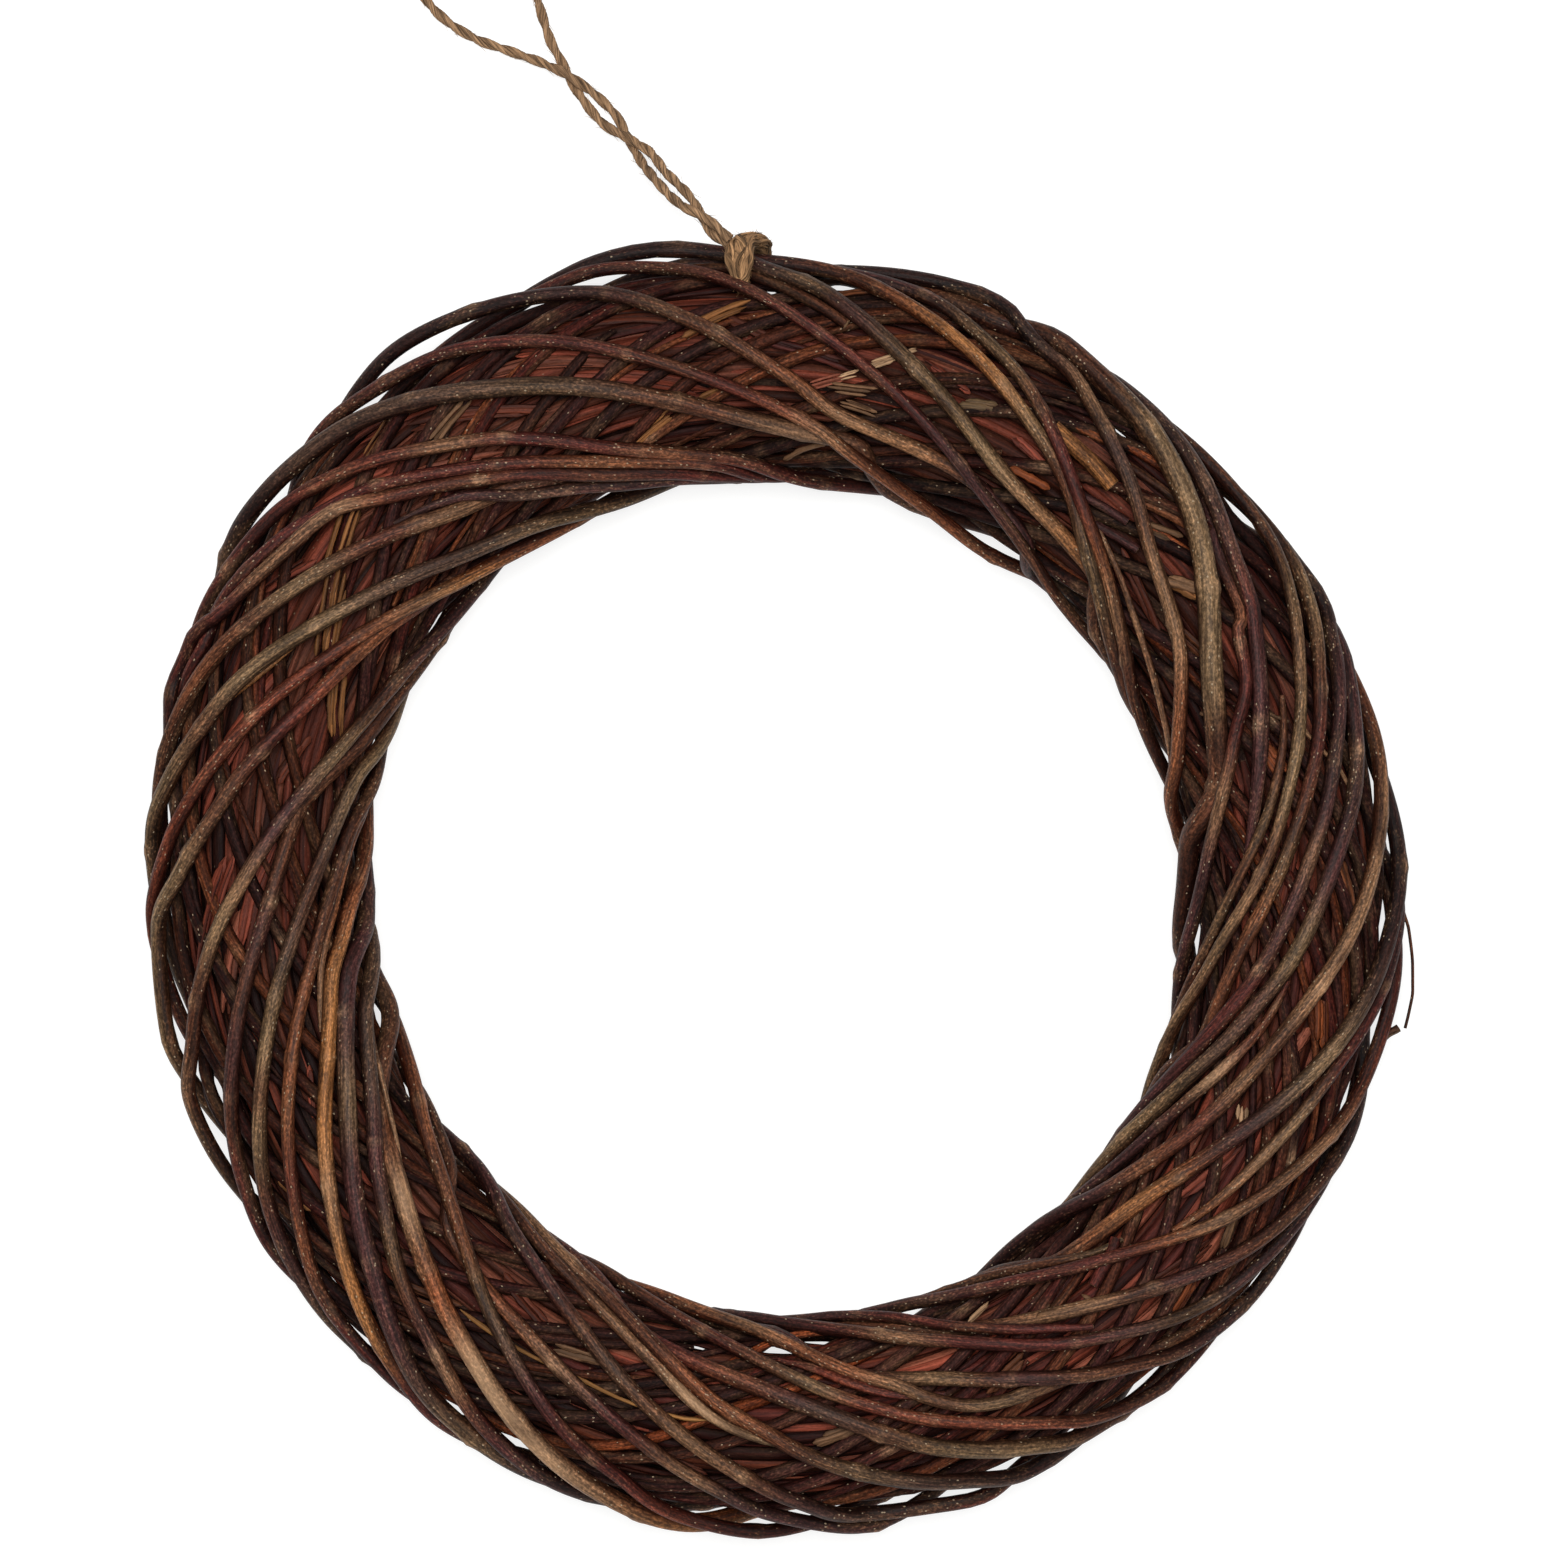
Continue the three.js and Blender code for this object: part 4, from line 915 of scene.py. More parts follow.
def bark_section(rng, travelled, radius, sides, buds=None):
    """Radius at each step and side of a grown rod: a little uneven, with a swelling and a leaf scar at each
    bud. Also how much of each place is scar."""
    theta = np.arange(sides)[None] * TURN / sides
    s = travelled[:, None]
    uneven = 1 + 0.035 * np.cos(2 * theta + s / 41 + TURN * rng.random())
    uneven += 0.025 * np.cos(3 * theta - s / 23 + TURN * rng.random())
    scar = np.zeros_like(uneven)
    side = TURN * rng.random()
    for place in bud_places(rng, travelled[-1]) if buds is None else buds:
        near = (s - place) / BUD_LENGTH
        uneven += BUD_SWELLING * np.exp(-near**2)
        at_bud = np.exp(-((near - 0.5) ** 2)) * np.maximum(0, np.cos(theta - side)) ** 4
        uneven += BUD_HEIGHT * at_bud
        scar += at_bud + 0.35 * np.exp(-((near * 1.6) ** 2))
        side += BUD_TURN + 0.5 * rng.random()
    return radius[:, None] * uneven, np.minimum(scar, 1)


class Rod:
    """One rod of a layer: its course in space, its section and its bark."""

    def __init__(self, rng, turn, angle, diameter, seat, off, tone, sway):
        share, reach = END_TAPER
        to_end = np.minimum(turn - turn[0], turn[-1] - turn)
        self.rng, self.tone = rng, tone
        self.radius = diameter / 2 * np.minimum(1, share + (1 - share) * to_end / reach)
        angle = angle + wander(rng, turn, 0.43, math.degrees(sway / RING_RADIUS) / 1.5)
        off = off + diameter / 2 + wander(rng, turn, 0.31, 0.2)
        self.spine = on_ring(angle, turn, seat, off)
        self.out = on_ring(angle, turn, seat, off + 1) - self.spine
        travelled = distances(self.spine)
        self.buds = bud_places(rng, travelled[-1])
        stray = np.interp(travelled, self.buds, rng.normal(0, KINK, len(self.buds)))
        stray = np.convolve(np.pad(stray, 2, mode="edge"), (0.1, 0.25, 0.3, 0.25, 0.1), "valid")
        self.spine += stray[:, None] * unit(np.cross(np.gradient(self.spine, axis=0), self.out))
        self.keep_above_floor()

    def keep_above_floor(self):
        self.spine[:, 2] = np.maximum(self.spine[:, 2], self.radius * BARK_ROOM)

    def tube(self, tubes, sides, end_tone, grain_start):
        section, scar = bark_section(self.rng, distances(self.spine), self.radius, sides, self.buds)
        tone = np.repeat(self.tone[:, None], sides, 1)
        tone[..., :3] += (SCAR_PALENESS * scar)[..., None] * (end_tone[:3] - tone[..., :3])
        tubes.add(self.spine, self.out, section, sides, tone, end_tone, grain_start=grain_start)


def set_clear(rods, rounds, stride=2):
    """Moves rods that cut into each other apart, each by half."""
    for _ in range(rounds):
        points = [
            (number, place) for number, rod in enumerate(rods) for place in range(0, len(rod.spine), stride)
        ]
        tree = KDTree(len(points))
        for index, (number, place) in enumerate(points):
            tree.insert(rods[number].spine[place], index)
        tree.balance()
        widest = 2 * max(rod.radius.max() for rod in rods)
        moves = [np.zeros((len(rod.spine[::stride]), 3)) for rod in rods]
        for number, place in points:
            rod = rods[number]
            deepest = 0
            for near, index, away in tree.find_range(rod.spine[place], widest):
                other, there = points[index]
                cut = rod.radius[place] + rods[other].radius[there] - away
                if other != number and cut > deepest and away > 0.01:
                    deepest = cut
                    moves[number][place // stride] = (rod.spine[place] - np.array(near)) / away * cut * 0.5
        for rod, move in zip(rods, moves):
            fine = np.arange(len(rod.spine)) / stride
            spread = np.array([0.1, 0.2, 0.4, 0.2, 0.1])
            for axis in range(3):
                padded = np.pad(move[:, axis], 2, mode="edge")
                smooth = np.convolve(padded, spread, "valid")
                rod.spine[:, axis] += np.interp(fine, np.arange(len(move)), smooth)
            rod.keep_above_floor()


# Materials

def add_node(tree, kind, inputs=None, stops=None, **settings):
    """A node with its settings, its colour stops, and each input set to a value or linked to an output."""
    made = tree.nodes.new("ShaderNode" + kind)
    for name, value in settings.items():
        setattr(made, name, value)
    for key, value in (inputs or {}).items():
        if isinstance(value, bpy.types.NodeSocket):
            tree.links.new(value, made.inputs[key])
        else:
            made.inputs[key].default_value = value
    if stops:
        ramp = made.color_ramp
        while len(ramp.elements) < len(stops):
            ramp.elements.new(0.5)
        for element, (position, grey) in zip(ramp.elements, stops):
            element.position = position
            element.color = (grey, grey, grey, 1)
    return made


# What a Mix node does with two colours
BLEND = {"data_type": "RGBA"}
MULTIPLY = {"data_type": "RGBA", "blend_type": "MULTIPLY"}


def new_material(name):
    material = bpy.data.materials.new(name)
    material.use_nodes = True
    material.node_tree.nodes.clear()
    return material, material.node_tree


def bark_material(name, rough, lenticels, shine, specks):
    """Dried willow bark. It is smooth and thin with a satin face, wrinkled lengthwise where it has shrunk on
    the wood, blotched where the outer skin has worn, and dotted with pale corky lenticels. lenticels is the
    share of places that have one, and specks how much of the worn skin has come off."""
    material, tree = new_material(name)
    grain = add_node(tree, "Attribute", attribute_name="grain").outputs["Vector"]
    tone = add_node(tree, "Attribute", attribute_name="tone")
    bark = tone.outputs["Color"]

    def pattern(kind, across, along, **inputs):
        """A texture whose features are so many millimetres across and along the rod."""
        scale = (1000 / across, 1000 / across, 1000 / along)
        scaled = add_node(tree, "VectorMath", {0: grain, 1: scale}, operation="MULTIPLY").outputs[0]
        return add_node(tree, kind, {"Vector": scaled, "Scale": 1.0, **inputs})

    wrinkles = pattern("TexNoise", 0.7, 18, Detail=3.0, Roughness=0.6).outputs["Fac"]
    blotches = pattern("TexNoise", 6, 24, Detail=4.0, Roughness=0.65).outputs["Fac"]
    # Real wood fibres are under 0.2 mm across, and these are coarser so that they show
    fibres = pattern("TexNoise", 0.8, 25, Detail=3.0, Roughness=0.65).outputs["Fac"]
    # Real specks of dust and torn skin are 0.1 to 0.5 mm, and these are at the large end so that they show
    mottle = pattern("TexNoise", 0.6, 1.2, Detail=3.0, Roughness=0.6).outputs["Fac"]
    # Real lenticels are 0.3 to 1 mm long, and these are at the long end so that they show
    dots = pattern("TexVoronoi", 1.0, 1.7, Randomness=1.0)

    # Pale young bark is smoother than old dark bark
    paleness = add_node(tree, "SeparateColor", {0: bark}).outputs[1]
    age = add_node(tree, "MapRange", {
        "Value": paleness, "From Min": 0.07, "From Max": 0.17, "To Min": 1.0, "To Max": 0.4,
    }).outputs[0]
    streaks = add_node(tree, "ValToRGB", {0: wrinkles}, ((0.36, 0.42), (0.5, 0.88), (0.64, 1.7))).outputs[0]
    streaked = add_node(tree, "Mix", {0: age, 6: bark, 7: streaks}, **MULTIPLY).outputs[2]
    wear = add_node(tree, "ValToRGB", {0: blotches}, ((0.5, 0.0), (0.7, 0.25))).outputs[0]
    worn = add_node(tree, "Mix", {0: wear, 6: streaked, 7: (*linear(DEAD_SKIN), 1)}, **BLEND).outputs[2]
    stains = add_node(tree, "ValToRGB", {0: blotches}, ((0.3, 0.65), (0.47, 0.0))).outputs[0]
    stained = add_node(tree, "Mix", {0: stains, 6: worn, 7: (*linear(STAIN), 1)}, **BLEND).outputs[2]
    dust = add_node(tree, "ValToRGB", {0: mottle}, ((0.36, 0.45), (0.5, 0.95), (0.64, 1.65))).outputs[0]
    mottled = add_node(tree, "Mix", {0: age, 6: stained, 7: dust}, **MULTIPLY).outputs[2]

    # Where specks of the worn skin have come off, the bark below is bleached
    flecks = add_node(tree, "ValToRGB", {0: mottle}, ((0.58, 0.0), (0.66, 1.0))).outputs[0]
    worn_here = add_node(tree, "ValToRGB", {0: blotches}, ((0.42, 0.0), (0.56, specks))).outputs[0]
    flecked = add_node(tree, "Mix", {0: 1.0, 6: flecks, 7: worn_here}, **MULTIPLY).outputs[2]
    paler = add_node(tree, "Mix", {0: 0.3, 6: mottled, 7: (*linear(BLEACHED), 1)}, **BLEND).outputs[2]
    lighter = add_node(tree, "Mix", {0: 1.0, 6: paler, 7: (1.7, 1.55, 1.45, 1)}, **MULTIPLY).outputs[2]
    speckled = add_node(tree, "Mix", {0: flecked, 6: mottled, 7: lighter}, **BLEND).outputs[2]

    # Lenticels crowd together on some stretches and are few on others
    chance = add_node(tree, "SeparateColor", {0: dots.outputs["Color"]}).outputs[0]
    small = add_node(tree, "Math", {0: dots.outputs["Distance"], 1: 0.22}, operation="LESS_THAN").outputs[0]
    threshold = add_node(tree, "MapRange", {
        "Value": blotches, "From Min": 0.38, "From Max": 0.62, "To Min": 0.985, "To Max": 1 - lenticels,
    }).outputs[0]
    chosen = add_node(tree, "Math", {0: chance, 1: threshold}, operation="GREATER_THAN").outputs[0]
    lenticel = add_node(tree, "Math", {0: small, 1: chosen}, operation="MULTIPLY").outputs[0]
    faint = add_node(tree, "Math", {0: lenticel, 1: 0.62}, operation="MULTIPLY").outputs[0]
    dotted = add_node(tree, "Mix", {0: faint, 6: speckled, 7: (*linear(CORK), 1)}, **BLEND).outputs[2]

    # Bare wood shows only its fibres
    lines = add_node(tree, "ValToRGB", {0: fibres}, ((0.36, 0.4), (0.5, 0.85), (0.64, 1.8))).outputs[0]
    wood = add_node(tree, "Mix", {0: 1.0, 6: bark, 7: lines}, **MULTIPLY).outputs[2]
    face = add_node(tree, "Mix", {0: tone.outputs["Alpha"], 6: wood, 7: dotted}, **BLEND).outputs[2]

    relief = add_node(tree, "Math", {0: wrinkles, 1: mottle}, operation="ADD").outputs[0]
    raised = add_node(tree, "Math", {0: lenticel, 1: relief}, operation="ADD").outputs[0]
    bump = add_node(tree, "Bump", {"Height": raised, "Strength": 0.5, "Distance": 0.0004}).outputs[0]
    gloss = add_node(
        tree, "MapRange", {"Value": blotches, "To Min": rough - 0.1, "To Max": rough + 0.15}
    ).outputs[0]
    shader = add_node(
        tree, "BsdfPrincipled",
        {"Base Color": face, "Roughness": gloss, "Normal": bump, "IOR": 1.48, "Specular IOR Level": shine},
    )
    add_node(tree, "OutputMaterial", {"Surface": shader.outputs[0]})
    return material


def jute_material(name):
    """Jute twine. Long dull fibres lie along each ply, and painted shade in the tone darkens the groove
    between plies.
    """
    material, tree = new_material(name)
    grain = add_node(tree, "Attribute", attribute_name="grain").outputs["Vector"]
    tone = add_node(tree, "Attribute", attribute_name="tone").outputs["Color"]
    # Real jute fibres are under 0.1 mm thick, and these are coarser so that they show
    across, along = 0.5, 6
    scale = (1000 / across, 1000 / across, 1000 / along)
    scaled = add_node(tree, "VectorMath", {0: grain, 1: scale}, operation="MULTIPLY").outputs[0]
    fibres = add_node(tree, "TexNoise", {"Vector": scaled, "Scale": 1.0, "Detail": 3.0}).outputs["Fac"]
    light = add_node(tree, "ValToRGB", {0: fibres}, ((0.36, 0.35), (0.64, 1.6))).outputs[0]
    face = add_node(tree, "Mix", {0: 1.0, 6: tone, 7: light}, **MULTIPLY).outputs[2]
    bump = add_node(tree, "Bump", {"Height": fibres, "Strength": 0.6, "Distance": 0.0003}).outputs[0]
    shader = add_node(
        tree, "BsdfPrincipled",
        {"Base Color": face, "Roughness": 0.9, "Normal": bump, "Specular IOR Level": 0.2},
    )
    add_node(tree, "OutputMaterial", {"Surface": shader.outputs[0]})
    return material


def floor_material(name, colours):
    """Opal acrylic of a light table, sanded matt. It is lit a little from below, so it stays white under the
    wreath."""
    material, tree = new_material(name)
    place = add_node(tree, "NewGeometry").outputs["Position"]
    # Real sanding marks are under 0.5 mm apart, and these are coarser so that they show from so far
    sanded = add_node(tree, "TexNoise", {"Vector": place, "Scale": 1000 / 2.5}).outputs["Fac"]
    bump = add_node(tree, "Bump", {"Height": sanded, "Strength": 0.05, "Distance": 0.0002}).outputs[0]
    shader = add_node(
        tree, "BsdfPrincipled",
        {"Base Color": (*colours.floor, 1), "Roughness": 0.8, "Normal": bump, "Emission Color": (1, 1, 1, 1),
         "Emission Strength": 0.75},
    )
    add_node(tree, "OutputMaterial", {"Surface": shader.outputs[0]})
    return material


# Pieces

class WREATH_OT_view(bpy.types.Operator):
    """Places the camera straight above the wreath"""

    bl_idname = "wreath.view"
    bl_label = "Place the camera"

    def execute(self, context):
        data = bpy.data.cameras.new("overhead")
        data.sensor_width = SENSOR
        data.lens = SENSOR * CAMERA_DISTANCE / VIEW_WIDTH
        data.dof.use_dof = False
        camera = bpy.data.objects.new("overhead", data)
        camera.location = metres((*VIEW_CENTRE, MID_HEIGHT + CAMERA_DISTANCE))
        context.scene.collection.objects.link(camera)
        context.scene.camera = camera
        return {"FINISHED"}


def smooth_route(points, spacing):
    """Points about `spacing` apart on a smooth curve through `points`."""
    points = np.asarray(points, float)
    ends = [2 * points[0] - points[1]], [2 * points[-1] - points[-2]]
    p = np.concatenate([ends[0], points, ends[1]])
    fine = []
    for i in range(1, len(p) - 2):
        knots = [0.0]
        for k in range(3):
            knots.append(knots[-1] + np.linalg.norm(p[i + k] - p[i + k - 1]) ** 0.5)
        steps = max(2, round(np.linalg.norm(p[i + 1] - p[i]) / spacing) + 1)
        t = np.linspace(knots[1], knots[2], steps)[:, None]

        def blend(a, b, start, end):
            return ((end - t) * a + (t - start) * b) / (end - start)

        low = [blend(p[i + k - 1], p[i + k], knots[k], knots[k + 1]) for k in range(3)]
        mid = [blend(low[k], low[k + 1], knots[k], knots[k + 2]) for k in range(2)]
        fine.append(blend(mid[0], mid[1], knots[1], knots[2])[:-1])
    return np.concatenate([*fine, points[-1:]])


def carried_out(spine):
    """Unit vectors across the spine that turn no more than it does."""
    along = unit(np.gradient(spine, axis=0))
    out = [unit(np.cross(along[0], (0, 0, 1)))]
    for t in along[1:]:
        out.append(unit(out[-1] - (out[-1] @ t) * t))
    return np.array(out)


def twine(tubes, rng, spine, diameter, pitch, tone):
    """Two twisted plies along the spine."""
    travelled = distances(spine)
    out = carried_out(spine)
    side = np.cross(unit(np.gradient(spine, axis=0)), out)
    for ply in (0, 0.5):
        around = TURN * (travelled / pitch + ply)
        way = np.cos(around)[:, None] * out + np.sin(around)[:, None] * side
        lumps = 1 + wander(rng, travelled, 9, 0.05)
        centre = spine + way * diameter * PLY_OFFSET
        radius = diameter * PLY_RADIUS * lumps
        shade = tone * (1 + wander(rng, travelled, 21, 0.06)[:, None])
        shade = np.concatenate([shade[:, :3], np.ones((len(spine), 1))], -1)
        # Each ply gets painted shade on its inner side
        tubes.add(centre, way, radius, PLY_SIDES, shade, tone, 1.1, 500 * rng.random(), JUTE_SHADE)


def hairs(tubes, rng, spine, diameter, hair, tone, per_length, lowest):
    """Loose fibres that stand out from a cord, so many for each millimetre of it, none below `lowest`."""
    travelled = distances(spine)
    out = carried_out(spine)
    along = unit(np.gradient(spine, axis=0))
    side = np.cross(along, out)
    radius = np.linspace(*HAIR_RADII, HAIR_STEPS)
    for _ in range(int(travelled[-1] * per_length)):
        i = rng.integers(1, len(spine) - 1)
        around = TURN * rng.random()
        way = math.cos(around) * out[i] + math.sin(around) * side[i]
        size = hair * rng.uniform(0.5, 1.2)
        lift = rng.uniform(0.1, 0.42)
        forward = along[i] * rng.choice((-1, 1))
        t = np.linspace(0, 1, HAIR_STEPS)[:, None]
        path = spine[i] + way * (diameter * 0.4 + size * lift * t**1.4) + forward * size * t * 0.8
        path += np.cross(forward, way) * size * rng.uniform(-0.25, 0.25) * t**2
        path[:, 2] = np.maximum(path[:, 2], lowest)
        ways, tones = np.repeat([way], HAIR_STEPS, 0), np.repeat([tone], HAIR_STEPS, 0)
        tubes.add(path, ways, radius, HAIR_SIDES, tones, tone, sunk=1)


class WREATH_OT_cord(bpy.types.Operator):
    """Makes the jute hanging cord and the hitch that ties it to the ring"""

    bl_idname = "wreath.cord"
    bl_label = "Add the hanging cord"

    def execute(self, context):
        colours, sizes = context.scene.wreath_colours, context.scene.wreath_sizes
        rng = np.random.default_rng(11)
        material = jute_material("two_ply_jute")
        tone = np.array([*colours.jute, 1.0])
        pitch, hair = millimetres(sizes.ply_pitch), millimetres(sizes.hair)
        hitch = Tubes()
        stained = tone * HITCH_STAIN
        path = np.array(HITCH_PATH)
        share = np.linspace(0, len(path) - 1, HITCH_STEPS)
        angle, turn, off, width, thick = (
            between(lambda n, c=c: path[n.clip(0, len(path) - 1), c], share) for c in range(5)
        )
        middle = on_ring(angle, turn, OUTER_SEAT, off)
        out = away_from_core(middle)
        side = np.cross(unit(np.gradient(middle, axis=0)), out)
        for lock in range(HITCH_LOCKS):
            around = GOLDEN_ANGLE * lock + wander(rng, share, 7, 0.45)
            away = math.sqrt((lock + 0.5) / HITCH_LOCKS) * HITCH_FILL
            spine = middle + side * (width * away * np.cos(around))[:, None]
            spine += out * (thick * away * np.sin(around))[:, None]
            radius = rng.uniform(0.35, 0.7) * (1 + wander(rng, share, 11, 0.08))
            # Painted shade: some locks are painted darker, as if they lay in the shade of others
            light = 0.35 + 0.9 * abs(math.cos(6 * lock))
            shade = np.repeat([[*stained[:3] * light * rng.uniform(0.8, 1.15), 1.0]], len(share), 0)
            hitch.add(spine, out, radius, LOCK_SIDES, shade, stained, 1.3, 500 * rng.random(), JUTE_SHADE)
            hairs(hitch, rng, spine, 1.5, hair / 2, stained, per_length=0.9, lowest=0)
        hitch = hitch.piece("hitch_twine", material, "jute", "jute_hitch")
        cord = Tubes()
        spine = smooth_route(CORD_ROUTE, CORD_STEP)
        twine(cord, rng, spine, CORD_DIAMETER, pitch, tone)
        hairs(cord, rng, spine, CORD_DIAMETER, hair, tone, per_length=0.5, lowest=0.1)
        cord = cord.piece("hanging_twine", material, "jute", "hanging_cord")
        return {"FINISHED"}


class WREATH_OT_core(bpy.types.Operator):
    """Makes the core, a dark bundle with fine split twigs on its surface"""

    bl_idname = "wreath.core"
    bl_label = "Add the core"

    def execute(self, context):
        colours, sizes = context.scene.wreath_colours, context.scene.wreath_sizes
        rng = np.random.default_rng(5)
        material = bark_material("split_willow_twigs", rough=0.6, lenticels=0.03, shine=0.1, specks=0.0)
        core = Tubes()
        angle = np.linspace(0, 360, 181)
        inside = on_ring(angle, 0.5, (0, 0), 0)
        # The bundle's inside shows only as darkness between the twigs, so it is a tube of painted shade
        bundle = np.repeat([[*linear(DEEP_SHADE), 1.0]], len(angle), 0)
        theta = np.arange(BUNDLE_SIDES) * TURN / BUNDLE_SIDES
        width, height = (half - inset for half, inset in zip(CORE_SURFACE, BUNDLE_INSET))
        section = width * height / np.hypot(height * np.sin(theta), width * np.cos(theta))
        up = np.repeat([[0, 0, 1.0]], len(angle), 0)
        core.add(inside, up, np.repeat([section], len(angle), 0), BUNDLE_SIDES, bundle, bundle[0])
        count = sizes.twig_count
        for number in range(count):
            start = 360 * rng.random()
            reach = rng.uniform(*TWIG_REACH)
            steps = max(6, round(reach / TWIG_STEP))
            angle = np.linspace(start, start + reach, steps)
            share = np.linspace(0, 1, steps)
            turn = (number + rng.random()) / count + rng.uniform(-0.03, 0.005) * share * reach / 90
            turn = turn + wander(rng, angle, 70, 0.004)
            thick = millimetres(sizes.twig_width) * rng.uniform(0.55, 1.25) / 2
            flat = rng.choice((1.2, 1.6, 2.1, 2.7))
            radius = thick / flat**0.5 * np.minimum(1, 0.4 + 30 * np.minimum(share, 1 - share))
            off = rng.uniform(-2.4, 0.4) + wander(rng, angle, 80, 0.12) - 2.0 * (2 * share - 1) ** 8
            spine = on_ring(angle, turn, CORE_SURFACE, off)
            out = on_ring(angle, turn, CORE_SURFACE, off + 1) - spine
            open_slits(spine, radius)
            word = rng.choice(TWIG_TONES)
            # Painted shade and random tone: each twig is darkened by a random amount, most of them far, for
            # the depth of the core
            shade = np.array([*getattr(colours, word), 1.0]) * (0.24 + 0.9 * rng.random() ** 1.3)
            tone = np.repeat([shade], steps, 0)
            tone[:, 3] = TWIG_BARK
            tone = varied_round_ring(tone, spine)
            core.add(spine, out, radius, TWIG_SIDES, tone, bare(colours), flat, number * 313.0)
        core.piece("core_twigs", material, "core_twigs", "core_ring")
        return {"FINISHED"}


class WREATH_OT_under_rods(bpy.types.Operator):
    """Makes the lower layer of rods"""

    bl_idname = "wreath.under_rods"
    bl_label = "Add the lower rods"

    def execute(self, context):
        colours, sizes = context.scene.wreath_colours, context.scene.wreath_sizes
        material = bark_material("worn_willow_bark", rough=0.62, lenticels=0.12, shine=0.08, specks=0.2)
        stray = millimetres(sizes.sway) * UNDER_STRAY
        for number, _, start, end, passing in layer_rods(UNDER_CROSSINGS, -1, under_crossing):
            rng = np.random.default_rng(100 + number)
            turn = np.linspace(start, end, round((end - start) * UNDER_STEPS))
            angle, diameter = passing("angle", turn), passing("diameter", turn)
            tone = lower_bark(rng, colours, UNDER_TONES, UNDER_PATCHES, turn)
            rod = Rod(rng, turn, angle, diameter, UNDER_SEAT, 0, tone, stray)
            open_slits(rod.spine, rod.radius)
            rod.tone = varied_round_ring(rod.tone, rod.spine)
            tubes = Tubes()
            rod.tube(tubes, UNDER_SIDES, bare(colours), number * 1700.0)
            tubes.piece(f"under_rod_bark_{number:02d}", material, "lower_rods", f"under_rod_{number:02d}")
        return {"FINISHED"}


class WREATH_OT_switches(bpy.types.Operator):
    """Makes the thin switches pushed in among the lower rods"""

    bl_idname = "wreath.switches"
    bl_label = "Add the thin switches"

    def execute(self, context):
        colours, sizes = context.scene.wreath_colours, context.scene.wreath_sizes
        material = bark_material("thin_willow_bark", rough=0.62, lenticels=0.12, shine=0.08, specks=0.2)
        count = sizes.switch_count
        for bundle in range(SWITCH_BUNDLES):
            rng = np.random.default_rng(60 + bundle)
            tubes = Tubes()
            for number in range(bundle, count, SWITCH_BUNDLES):
                # About half of them lie more at the back and half more on the front
                middle = rng.integers(0, 2) * 0.5 + rng.uniform(-0.25, 0.25)
                half = rng.uniform(0.14, 0.5)
                turn = np.linspace(middle - half, middle + half, round(half * 2 * SWITCH_STEPS))
                start = 360 * (number + rng.random()) / count
                angle = start - SLOPE * rng.uniform(0.8, 1.6) * (turn - middle)
                angle = angle + wander(rng, turn, 0.4, 0.8)
                share = np.linspace(-1, 1, len(turn))
                radius = millimetres(sizes.switch_width) / 2 * rng.uniform(0.55, 1.3) * (1 - 0.5 * share**8)
                off = rng.uniform(0.8, 3.2) + wander(rng, turn, 0.25, 0.3) - 2.5 * share**8
                spine = on_ring(angle, turn, UNDER_SEAT, off)
                out = on_ring(angle, turn, UNDER_SEAT, off + 1) - spine
                open_slits(spine, radius)
                tone = varied_round_ring(lower_bark(rng, colours, SWITCH_TONES, SWITCH_PATCHES, turn), spine)
                section, _ = bark_section(rng, distances(spine), radius, THIN_SIDES)
                flat = rng.choice((1.0, 1.0, 1.3, 1.9))
                section /= flat**0.5
                tubes.add(spine, out, section, THIN_SIDES, tone, bare(colours), flat, number * 911.0)
            tubes.piece(f"thin_switches_{bundle + 1}", material, "lower_rods")
        return {"FINISHED"}


